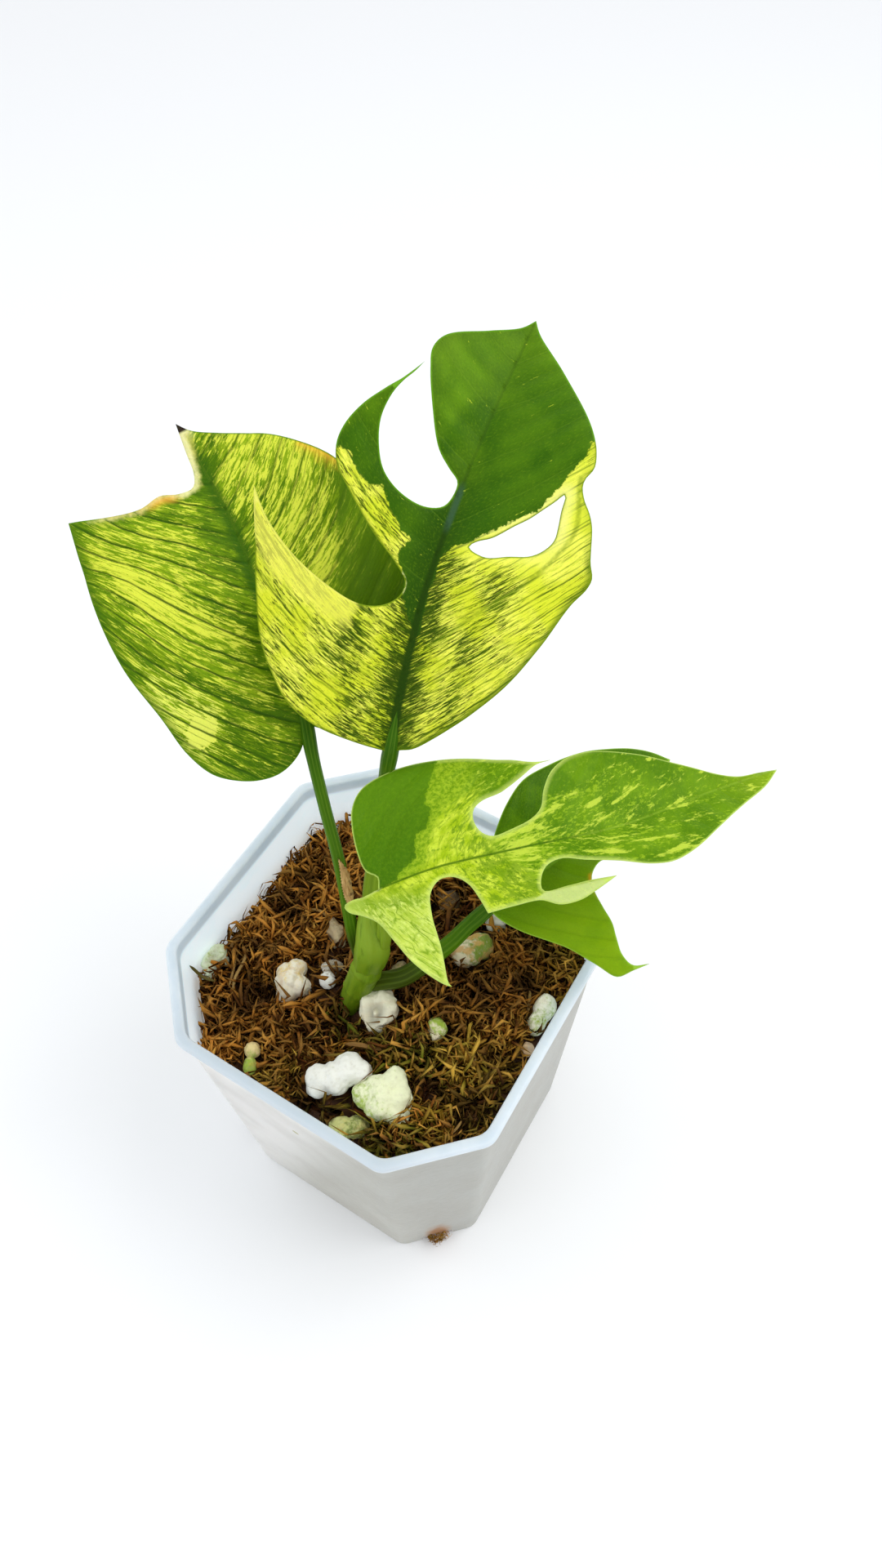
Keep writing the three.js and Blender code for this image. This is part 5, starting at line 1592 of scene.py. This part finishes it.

# %% [markdown]
# ## Where the strands go
# Sphagnum is not even: strands lie thick between the stones, stand up along the far walls, and are green
# where light and water reach them. Between its clumps are holes, darkened with painted shade, and some
# golden tufts stand above the rest, brightened with painted highlight like the tops of the clumps and a few
# sunny patches. Those wishes are plain numbers on the points of a strewing sheet over the bed, so that one
# node tree can read them.

# %% Spots on the bed: x, y, reach in millimetres, amount
GREENS = [
    (-1, -20, 5, 0.6), (10, -17, 4, 0.5), (36, -24, 6, 0.5), (19, -20, 5, 0.5), (4, -40, 5, 0.6),
    (22, -36, 5, 0.4), (31, -15, 7, 0.6), (20, -15, 6, 0.75), (41, -13, 4, 0.3), (-3, -15, 4, 0.8),
    (26, -30, 7, 0.6), (42, -24, 5, 0.2), (12, -22, 5, 0.7), (3, -36, 7, 0.3), (14, -38, 6, 0.5),
    (36, 24, 9, 0.35), (16, 22, 7, 0.3), (-14, -37, 6, 0.3),
]
YELLOWS = [(30, -14, 9, 0.7), (33, -5, 6, 0.9), (22, -13, 5, 0.8), (-30, -20, 5, 0.4), (40, 20, 10, 0.6),
           (-8.5, -37.5, 4, 1)]
# Dark patches: painted shade, as under the low leaf, on moss that is also darker itself.
DARKS = [(26, 8.6, 9, 0.6), (17, 3, 8, 0.7), (7, -16, 5, 0.7), (-14, 0, 8, 0.5), (-2, 4, 9, 0.6),
         (12, -19, 5, 0.4), (-24, -22, 6, 0.4), (31, 22, 8, 0.6), (-22, -29, 8, 0.35), (8, -3, 6, 0.5),
         (4, 14, 12, 0.6)]
# Sunny patches: painted light on the moss.
SUNNY = [(-30, 12, 14, 0.8), (-22, -8, 9, 0.3), (-16, 22, 12, 0.7), (-9, -21, 9, 0.9), (6, -24, 6, 0.3),
         (14, -14, 5, 0.3)]
# Holes in the moss: dented, and darkened with painted shade.
HOLES = [(24.3, 4, 3.2, 1), (38.3, 5.1, 2.6, 1), (20.9, -7.3, 2.6, 1), (33.5, -8.5, 2.2, 0.8),
         (25.3, -21.2, 2.6, 1), (39.7, -14.6, 2.2, 0.9), (35.7, -21.7, 2.6, 0.9), (-31.9, 1.5, 3.2, 1),
         (-23.5, -20.1, 3.6, 0.8), (-8.6, -11.2, 3, 1), (-2.7, -14.1, 3, 1), (1.7, -36.4, 4, 0.8),
         (-26.2, -26.7, 3, 0.7), (-33, 12.6, 3, 0.8), (31.2, 12.2, 3, 0.7)]
# Golden tufts: raised, golden, and brightened with painted highlight.
GOLD = [(24.1, 12.8, 3.6, 0.9), (30.9, 4.6, 3, 1), (31.1, -1.9, 3, 1), (22.2, -11.6, 2.8, 1),
        (31.3, -18.8, 3, 1), (16.5, -12.8, 2.8, 0.9), (14.2, -18, 2.6, 0.9), (36.3, 17.3, 3.6, 0.8),
        (-36, -6, 3.6, 0.9), (-36, 2.9, 3.2, 0.8), (-31.7, -14.1, 3, 0.8), (-29.4, -31.4, 3.2, 0.9),
        (-12.3, -23.1, 3.6, 0.9), (-10, -17.3, 3, 0.8)]
STARS = [(30, -10, 8, 0.9), (24, -14, 6, 0.9), (35, -3, 5, 1), (30, 2, 5, 0.8), (34, -20, 7, 0.7),
         (28, -26, 6, 0.5), (37, 14, 6, 0.6)]

# %% Numbers on the strewing sheet
def patches(x, y, spots):
    """How strongly, 0 to 1, soft round spots of (x, y, reach, amount) mark these places."""
    marks = (amount * np.exp(-(((x - cx) ** 2 + (y - cy) ** 2) / reach**2))
             for cx, cy, reach, amount in spots)
    return np.clip(sum(marks), 0, 1)


def stone_share(stone, x, y):
    """How far out from a stone's middle places lie, where 1 is its outline."""
    sx, sy, _, width, depth, _, turn = stone
    c, s = math.cos(math.radians(turn)), math.sin(math.radians(turn))
    return np.hypot(((x - sx) * c + (y - sy) * s) / width, ((y - sy) * c - (x - sx) * s) / depth) * 2


x, y = flat.T
holes, gold, darks = (patches(x, y, spots) for spots in (HOLES, GOLD, DARKS))
clear = np.linalg.norm(flat - STEM_SPOT, axis=1) - 2.0
for stone in STONES:
    clear = np.minimum(clear, (stone_share(stone, x, y) - 1) * min(stone[3:5]) / 2 - 0.9)
wall = distance_to(flat, rim)
lie = np.clip(clear / 1.2, 0, 1) * np.clip(wall / 2.0, 0.15, 1) * np.clip(0.95 + 0.4 * lumps, 0.2, 1.7)
slope_x = np.array([clump_at(a + 0.7, b) - clump_at(a - 0.7, b) for a, b in flat])
slope_y = np.array([clump_at(a, b + 0.7) - clump_at(a, b - 0.7) for a, b in flat])
drift = np.array([noise.noise(Vector((a * 0.09, b * 0.09, 2.0))) for a, b in flat]) * 2.6 * math.pi
far_wall = (np.clip((-x - 0.1 * y - 24) / 8, 0, 1) + np.clip((y - x - 42) / 10, 0, 1)
            + np.clip((y - 32) / 6, 0, 1))
star = np.clip(clear / 1.5, 0, 1) * np.clip(wall / 3, 0, 1)
star = star * np.clip(0.6 * patches(x, y, STARS) + gold * (x > 5), 0, 1)
GROUND = {
    # Painted shade in the dark patches, the low places between clumps and the holes.
    "hollow": np.clip(0.8 * darks + np.clip(-0.8 * lumps - 0.15, 0, 1) + 0.9 * holes, 0, 1),
    # Painted highlight on the tops of clumps and in the sunny patches, and the golden tufts' own colour.
    "crest": np.clip(0.9 * lumps, 0, 1) * (1 - 0.6 * darks) + 0.8 * patches(x, y, SUNNY) + gold,
    "star": star * (1 - 0.9 * holes),
    "lie": lie * (1 - 0.8 * holes),
    "stand": np.clip(1 - wall / 6, 0, 1) * np.clip(far_wall, 0, 1) * (wall > 0.6),
    "swirl": np.arctan2(0.12 * np.sin(drift) - slope_y, 0.12 * np.cos(drift) - slope_x),
    "outward": np.arctan2(y, x),
    "green": patches(x, y, GREENS),
    "yellow": patches(x, y, YELLOWS),
}
sheet = new_piece("strewing sheet", np.column_stack([flat, top_z + 0.3]), top_faces, GROUND)

# %% [markdown]
# ## Sprigs
# A strand of sphagnum is a thin stem with small pointed leaves set round it in a spiral, closer and shorter
# towards the tip. One sprig has only sixty faces, since it is repeated nearly two thousand times: a
# three-sided stem and five leaves, each a closed, hooked sliver of ten faces. Six different sprigs are enough
# to hide the repetition once they are turned and scaled. A second family has six longer leaves on a short
# stem, for the star-like tufts that stand up in the wet corner.

# %% Sprig shapes
SPRIG_STEPS = 40  # places along a sprig's stem


def make_sprig(name, length, arch, curl, leaf, splay, hook, seed, leaves):
    """A strand about its middle, along X, with `tip` from 0 on the stem to 1 at each leaf's point."""
    dice = np.random.default_rng(seed)
    shares = np.linspace(0, 1, SPRIG_STEPS + 1)
    turn = curl * (shares - 0.5)
    line = np.column_stack([np.cumsum(np.cos(turn)), np.cumsum(np.sin(turn)), 0 * turn]) * length / len(turn)
    line -= line[SPRIG_STEPS // 2]
    line[:, 2] = arch * (1 - (2 * shares - 1) ** 2)

    def frame(share):
        """The place on the stem at a share of its length, with the way along it, its side and its top."""
        at, after, before = (spot_at(np.clip(share + step, 0, 1), shares, line) for step in (0, 0.05, -0.05))
        way = unit(after - before)
        side = unit(np.cross(way, (0, 0, 1)))
        return at, way, side, np.cross(side, way)

    points, faces, tips = [], [], []

    def add_sliver(rings, end, marks):
        """Three-sided rings in a row, closed at the start and drawn out to a point."""
        base = len(points)
        for ring, mark in zip(rings, marks):
            points.extend(ring)
            tips.extend([mark] * 3)
        points.append(end)
        tips.append(marks[-1])
        last = base + 3 * (len(rings) - 1)
        for r in range(base, last, 3):
            faces.extend((r + k, r + (k + 1) % 3, r + 3 + (k + 1) % 3, r + 3 + k) for k in range(3))
        faces.extend((last + k, last + (k + 1) % 3, last + 3) for k in range(3))
        faces.append((base + 2, base + 1, base))

    stem_rings = []
    for share in (0, 0.33, 0.67):
        at, way, side, up = frame(share)
        radius = 0.32 * (1 - 0.5 * share)
        stem_rings.append([at + radius * (math.cos(a) * side + math.sin(a) * up) for a in (1.6, 3.7, 5.8)])
    add_sliver(stem_rings, frame(1)[0], (0.1, 0.15, 0.2, 0.5))
    for k in range(leaves):
        share = 0.04 + 0.93 * k / leaves
        root, way, side, up = frame(share)
        angle = 2.4 * k + dice.uniform(-0.3, 0.3)
        out = math.cos(angle) * side + math.sin(angle) * up
        across = np.cross(way, out)
        size = leaf * dice.uniform(0.75, 1.2) * (1.1 - 0.35 * share)
        lean = splay * dice.uniform(0.7, 1.3)
        bend = hook * dice.uniform(0.6, 1.3) / 2
        spots = [root]
        for _ in range(3):
            spots.append(spots[-1] + 0.36 * size * (math.cos(lean) * way + math.sin(lean) * out))
            lean += bend
        rings = [
            [spot + broad * size * across, spot - broad * size * across, spot + 0.04 * size * (way + out)]
            for spot, broad in zip(spots, (0.028, 0.054, 0.04))
        ]
        add_sliver(rings, spots[3], (0.0, 0.35, 0.7, 1.0))
    made = new_piece(name, points, faces, {"tip": tips})
    whole = bmesh.new()
    whole.from_mesh(made.data)
    bmesh.ops.recalc_face_normals(whole, faces=whole.faces)
    whole.to_mesh(made.data)
    whole.free()
    scene.collection.objects.unlink(made)
    return made


# %% Two families of sprigs
def sprig_family(name, shapes, seed, leaves):
    """A collection of sprigs that the node tree can pick from."""
    family = bpy.data.collections.new(name)
    for k, shape in enumerate(shapes):
        family.objects.link(make_sprig(f"{name} {k}", *shape, seed + k, leaves))
    return family


# For each: length, arch, curl, leaf length, splay, hook
lying = sprig_family("lying sprig", [
    (8.5, 1.3, 1.6, 5.8, 0.45, 2.3), (7.0, 1.8, -2.4, 5.0, 0.6, 2.9), (10, 1.0, 1.0, 6.4, 0.35, 2.0),
    (5.5, 1.0, 3.2, 4.8, 0.7, 3.2), (8.0, 2.0, -1.8, 5.4, 0.5, -2.6), (7.5, 1.5, 2.6, 6.8, 0.4, 2.7),
], 10, 5)
tufted = sprig_family("tufted sprig", [
    (3.5, 0.2, 0.3, 6.4, 0.55, 1.5), (3.0, 0.1, -0.4, 7.4, 0.7, 1.1), (4.5, 0.3, 0.5, 6.0, 0.45, 2.0),
], 30, 6)

# %% [markdown]
# ## Strewing the sprigs
# Nearly two thousand strands could be set by a loop, but Geometry Nodes does it faster, and keeps the sizes
# in named inputs: points on the sheet, one sprig on each, turned along the local swirl. The instances are
# made real at the end, because an export would drop them.

# %% Node tree that strews
STREW_INPUTS = {
    "Ground": "Geometry", "Where": "String", "Heading": "String", "Density": "Float", "Stray": "Float",
    "Lowest pitch": "Float", "Highest pitch": "Float", "Smallest": "Float", "Largest": "Float",
    "Seed": "Int", "Sprigs": "Collection", "Finish": "Material",
}


def strewing_tree():
    """Points on the ground, a turned and scaled sprig on each with a tone of its own, made real."""
    tree = bpy.data.node_groups.new("Strewn sprigs", "GeometryNodeTree")
    tree.interface.new_socket("Geometry", in_out="OUTPUT", socket_type="NodeSocketGeometry")
    for name, kind in STREW_INPUTS.items():
        tree.interface.new_socket(name, in_out="INPUT", socket_type=f"NodeSocket{kind}")
    g = Bench(tree)
    given = {socket.name: Wire(g, socket) for socket in g.node("NodeGroupInput").outputs}
    seed = given["Seed"]

    def chance(low, high, extra):
        span = {2: low, 3: high, "Seed": seed + extra}
        return g.wire("FunctionNodeRandomValue", span, 1, data_type="FLOAT")

    where, heading = (g.wire("GeometryNodeInputNamedAttribute", {"Name": given[name]}, data_type="FLOAT")
                      for name in ("Where", "Heading"))
    spots = g.wire("GeometryNodeDistributePointsOnFaces", {
        "Mesh": given["Ground"], "Density": where * given["Density"], "Seed": seed})
    stray = chance(given["Stray"] * -1, given["Stray"], 1)
    pitch = chance(given["Lowest pitch"], given["Highest pitch"], 2) * -1
    turn = g.wire("FunctionNodeEulerToRotation", {0: g.join(chance(-1, 1, 3), pitch, heading + stray)})
    shapes = g.wire("GeometryNodeCollectionInfo", {
        "Collection": given["Sprigs"], "Separate Children": True, "Reset Children": True})
    which = g.wire("FunctionNodeRandomValue", {4: 0, 5: 99, "Seed": seed}, 2, data_type="INT")
    placed = g.wire("GeometryNodeInstanceOnPoints", {
        "Points": spots, "Instance": shapes, "Pick Instance": True, "Instance Index": which,
        "Rotation": turn, "Scale": chance(given["Smallest"], given["Largest"], 4)})
    toned = {"Geometry": placed, "Name": "tone", "Value": chance(0, 1, 5)}
    toned = g.wire("GeometryNodeStoreNamedAttribute", toned, data_type="FLOAT", domain="INSTANCE")
    real = g.wire("GeometryNodeRealizeInstances", {"Geometry": toned})
    return g.give(g.wire("GeometryNodeSetMaterial", {"Geometry": real, "Material": given["Finish"]}))


STREW = strewing_tree()

# %% Strands kept inside the walls and off the stones
def inside_walls(x, y, z, gap):
    """Moves points that stick through the pot's walls back to a small gap from them."""
    width, cut = pot_sizes(z)
    half, short = width / 2, width / 2 - cut
    for eighth in range(8):
        nx, ny = math.cos(eighth * math.pi / 4), math.sin(eighth * math.pi / 4)
        reach = half if eighth % 2 == 0 else (half + short) / math.sqrt(2)
        over = np.maximum(0, x * nx + y * ny - (reach - POT["wall"] - gap))
        x, y = x - over * nx, y - over * ny
    return x, y


STONE_MARGIN = 1.04  # strands keep this much more than a stone's outline clear


def off_stones(x, y, z):
    """Moves points inside the upper part of a lump of pumice out to its side, and into no other."""
    for stone in STONES:
        sx, sy = stone[:2]
        share = stone_share(stone, x, y) / STONE_MARGIN
        out = np.where((share < 1) & (z > moss_height(sx, sy) - 1), 1 / np.clip(share, 0.15, 1), 1)
        x, y = sx + (x - sx) * out, sy + (y - sy) * out
    return x, y


# %% One strewing, from the sheet to a plain mesh
HOLE_DEPTH, TUFT_RISE = 2.6, 0.9
# Painted shade: strands are darkened by how deep they lie.
SHADE = {"over": 0.7, "depth": 3.4}  # strands darken from this far over the moss, down to this much lower


def strew(name, ground, deepest=1, walls=True, **inputs):
    """Strews sprigs over a copy of the ground, and gives them back as one plain mesh."""
    piece = bpy.data.objects.new(name, ground.data.copy())
    scene.collection.objects.link(piece)
    live = piece.modifiers.new("strewn", "NODES")
    live.node_group = STREW
    for item in STREW.interface.items_tree:
        key = item.name.replace(" ", "_")
        if item.in_out == "INPUT" and key in inputs:
            live[item.identifier] = inputs[key]
    mesh = settle(piece)
    spots = np.empty(3 * len(mesh.vertices))
    mesh.vertices.foreach_get("co", spots)
    x, y, z = spots.reshape(-1, 3).T / MM
    sunk, raised = patches(x, y, HOLES), patches(x, y, GOLD)
    z = z - HOLE_DEPTH * sunk + TUFT_RISE * raised
    # The holes get their painted shade and the golden tufts their painted highlight, as well as their dent
    # and rise.
    for key, more in (("hollow", sunk), ("crest", raised)):
        held = mesh.attributes[key].data
        values = np.empty(len(held), np.float32)
        held.foreach_get("value", values)
        held.foreach_set("value", np.clip(values + more, 0, 1).astype(np.float32))
    if walls:
        x, y = off_stones(x, y, z)
        front_left = np.clip((-x - 26) / 6, 0, 1) * np.clip((4 - y) / 8, 0, 1)
        x, y = inside_walls(x, y, z, 0.2 + 1.1 * front_left)
    z = np.maximum(z, 0.15)  # over the floor
    mesh.vertices.foreach_set("co", (np.column_stack([x, y, z]) * MM).ravel())
    store(mesh, "deep", np.clip((moss_height(x, y) + SHADE["over"] - z) / SHADE["depth"], 0, deepest))
    smoothed(mesh)
    mesh.calc_loop_triangles()
    print(name, len(mesh.loop_triangles), "triangles")
    return piece


# %% [markdown]
# ## Moss finish
# Every strand has its own tone, its leaf points are paler and thinner than its stem, and whatever lies deep
# is dark: wetter, and in painted shade. Painted shade also darkens the holes and low places, and painted
# highlight brightens the tops of the clumps. Larger patches lean to rust, to straw or to green. One material
# reads all of that from the attributes that the strewing left on the strands.

# %% Moss material
bench = new_material("sphagnum", Roughness=0.75, Subsurface_Weight=0.1, Subsurface_Scale=0.0008,
                     Subsurface_Radius=(1.0, 0.6, 0.2), Specular_IOR_Level=0.1)
moss_paint, in_mm = bench.material, bench.in_mm()
tone, tip = bench.value("tone"), bench.value("tip")
colour = bench.mix(in_mm.noise(0.09, 3).rise(0.42, 0.6), (146, 98, 30), (172, 96, 18))
clumped = in_mm.noise(0.12, 3, 0.6)
yellow = bench.value("yellow") * tone.rise(0.3, 0.7)
other = bench.math("FRACT", tone * 7.3)
greens = bench.value("green") * other.rise(0.15, 0.5)
colour = colour.coats(
    # Painted highlight on clump tops and sunny patches, with the golden tufts' colour.
    (bench.value("crest") * 0.72, (222, 146, 56)),
    (tone.fall(0, 0.55, 0.6), (96, 50, 14)),
    (tone.rise(0.8, 1, 0, 0.7), (218, 164, 76)),
    (clumped.fall(0.4, 0.53, 0.85), (80, 38, 14)),
    (clumped.rise(0.54, 0.68, 0, 0.55), (228, 160, 70)),
    (yellow * 0.8, (206, 172, 62)),
    (greens, (96, 112, 16)),
)
pale = bench.mix(0.5, colour, (222, 172, 84))
colour = colour.coats(
    (tip.rise(0.3, 1, 0, 0.7), pale),
    (tip.fall(0, 0.3, 0.45), (74, 42, 16)),
    # Painted shade in the holes and low places.
    (bench.value("hollow") * 0.85, (50, 29, 12)),
    # Painted shade on strands that lie deep, which are wetter too.
    (bench.value("deep").rise(0.15, 1, 0, 0.88), (66, 34, 12)),
)
bench.finish(colour)
bench.bump(in_mm.noise(3, 3), 0.1, 0.5)

# %% Moss mass, under the strands
# Its dark brown is painted shade for the dark between the strands.
bench = new_material("moss mass", Roughness=0.85)
clumps = bench.in_mm().noise(0.5, 5, 0.65)
bench.finish(bench.mix(clumps.rise(0.4, 0.7), (62, 34, 14), (104, 62, 24)))
bench.bump(clumps, 0.6)
fit(bed, "moss_bed", "sphagnum", bench.material)

# %% Strew the strands
EVEN = {"Finish": moss_paint, "Smallest": 0.85, "Largest": 1.85}
SWIRLED = {**EVEN, "Sprigs": lying, "Where": "lie", "Heading": "swirl"}
moss_under = strew("moss_under", sheet, Density=180000.0, Stray=0.5, Lowest_pitch=-0.2, Highest_pitch=0.3,
                   Seed=3, **SWIRLED)
moss_over = strew("moss_over", sheet, Density=135000.0, Stray=0.4, Lowest_pitch=0.0, Highest_pitch=0.6,
                  Seed=8, **SWIRLED)
moss_edge = strew("moss_edge", sheet, Density=330000.0, Stray=1.0, Lowest_pitch=0.3, Highest_pitch=1.4,
                  Seed=5, Sprigs=lying, Where="stand", Heading="outward", **EVEN)
moss_tufts = strew("moss_tufts", sheet, Density=90000.0, Stray=3.1, Lowest_pitch=0.6, Highest_pitch=1.5,
                   Seed=6, Sprigs=tufted, Where="star", Heading="swirl", **EVEN)

# %% A tuft at the drain slot
core = bmesh.new()
bmesh.ops.create_icosphere(core, subdivisions=2, radius=1)
turn = Matrix.Rotation(math.radians(-45), 4, "Z")  # to the front corner
core.transform(turn @ Matrix.Translation((foot_reach - 0.4, 0, 3)) @ Matrix.Diagonal((2.4, 3, 2.6, 1)))
points = [tuple(v.co) for v in core.verts]
faces = [tuple(v.index for v in f.verts) for f in core.faces]
core.free()
marks = {"lie": 1, "swirl": -math.pi / 4, "green": 0, "yellow": 0.5, "hollow": 0, "crest": 1}
marks = {key: np.full(len(points), mark) for key, mark in marks.items()}
tuft_core = new_piece("tuft core", points, faces, marks)
SMALL = {**SWIRLED, "Smallest": 0.16, "Largest": 0.3}
drain_tuft = strew("drain_tuft", tuft_core, deepest=0.1, walls=False, Density=1500000.0, Stray=1.2,
                   Lowest_pitch=-0.3, Highest_pitch=0.3, Seed=2, **SMALL)
print("tuft at the front slot:", len(drain_tuft.data.vertices), "points")
bpy.data.objects.remove(tuft_core)
bpy.data.objects.remove(sheet)
for piece in (moss_under, moss_over, moss_edge, moss_tufts, drain_tuft):
    fit(piece, "moss_bed", "sphagnum")


# %% [markdown]
# ## Loose straws
# A few longer flat strands lie on top: bleached stems, a curl against the wall, a thin green thread. They
# are single things with a place of their own, so each has a short path, and the bar that made the stalks
# makes them too, pressed flat.

# %% Straws: path in millimetres, half width, tone
STRAWS = [
    ([(-30.5, -24.5, 84), (-32, -21, 85), (-33, -16.5, 84.6), (-34.5, -12.5, 84.5)], 0.4, 0.8),
    ([(-32, -24, 84), (-33.5, -20, 85), (-35.5, -16.5, 84)], 0.3, 0.7),
    ([(-28, 4.5, 83.5), (-24.5, 5, 85), (-21.5, 4.5, 84.5), (-18.5, 4, 82.5)], 0.35, 0.8),
    ([(35.5, 5.5, 87), (34.5, 8.5, 89), (32.5, 13, 87.5)], 0.4, 0.9),
    ([(30.5, -2.5, 87.5), (30.5, 1, 89.5), (31, 3.5, 90), (33, 5, 89)], 0.3, 0.8),
    ([(27.5, -16, 87.5), (29.5, -13, 88.5), (30.5, -10, 89), (28.5, -8.5, 88.5), (26, -8, 86.5)], 0.3, 0.8),
    ([(-21, -29.5, 84), (-18.5, -29.5, 85.2), (-15, -30, 85.4), (-13.5, -31.5, 83.8)], 0.35, 0.6),
    ([(1.5, -22, 87), (5.5, -20.5, 88.3), (11, -18.5, 87.8)], 0.6, 0.35),
    ([(34, -28.5, 89), (35, -26, 90), (35, -23.5, 89.5)], 0.3, 0.75),
    ([(-33.5, -17, 83), (-36.5, -16, 83.5), (-38.5, -14.5, 84), (-38, -12.5, 84.8), (-36, -12, 84.5)],
     0.4, 0.6),
    ([(-37, 28.6, 80.4), (-35, 30, 81.8), (-33, 30, 81.8), (-31.5, 28.6, 80)], 0.4, 0.6),
    ([(-15.5, -8.5, 86.5), (-10.5, -6.5, 88), (-6, -7, 88.5)], 0.13, 1.0),
    ([(-12.5, -7.5, 87.5), (-8, -5.5, 89), (-4.5, -5.2, 89.5)], 0.13, 1.0),
    ([(-40.9, -26, 91), (-40.6, -25.4, 87.5), (-39.4, -25.2, 85.2), (-37.5, -24.8, 84.6), (-35.5, -24, 84)],
     0.4, 0.0),
]

# %% The straws as one mesh
STRAW_LOOK = np.array([0.2, -0.3, 1])


def flat_profile(angle, distance):
    return 0.28 + 0.72 * np.abs(np.sin(angle)) + 0 * distance


def make_straws():
    """All the straws as one mesh."""
    points, faces, values = [], [], {"tone": [], "along": [], "around": []}
    for path, half_width, tone in STRAWS:
        path = smooth_path(path)
        length = along(path)[-1]

        def radius_at(distance):
            return half_width * np.clip(1.15 - np.abs(2 * distance / length - 1) ** 3, 0.12, 1)

        spots, more, marks = ring_bar(path, radius_at, STRAW_LOOK, flat_profile, 8, 0.6)
        faces += [tuple(len(points) + k for k in face) for face in more]
        points.extend(spots)
        marks["tone"] = np.full(len(spots), tone)
        for key, mark in marks.items():
            values[key].extend(mark)
    return new_piece("moss_straws", points, faces, values)


straws = make_straws()
print("straws:", len(STRAWS), "in", len(straws.data.polygons), "faces")

# %% Straw finish
bench = new_material("bleached strand", Roughness=0.65)
around, height, tone = bench.value("around"), bench.value("along"), bench.value("tone")
fibres = bench.join(bench.math("SINE", around) * 2.5, height * 0.4, tone).noise(1.6, 4, 0.6)
colour = bench.mix(tone.rise(0.5, 1), (150, 108, 42), (200, 164, 92))
colour = colour.coats(
    (tone.fall(0.1, 0.4), (96, 92, 24)),
    (fibres.rise(0.4, 0.7, 0, 0.7), (128, 82, 34)),
)
bench.finish(colour)
bench.bump(fibres, 0.15)
fit(straws, "moss_bed", "sphagnum", bench.material)
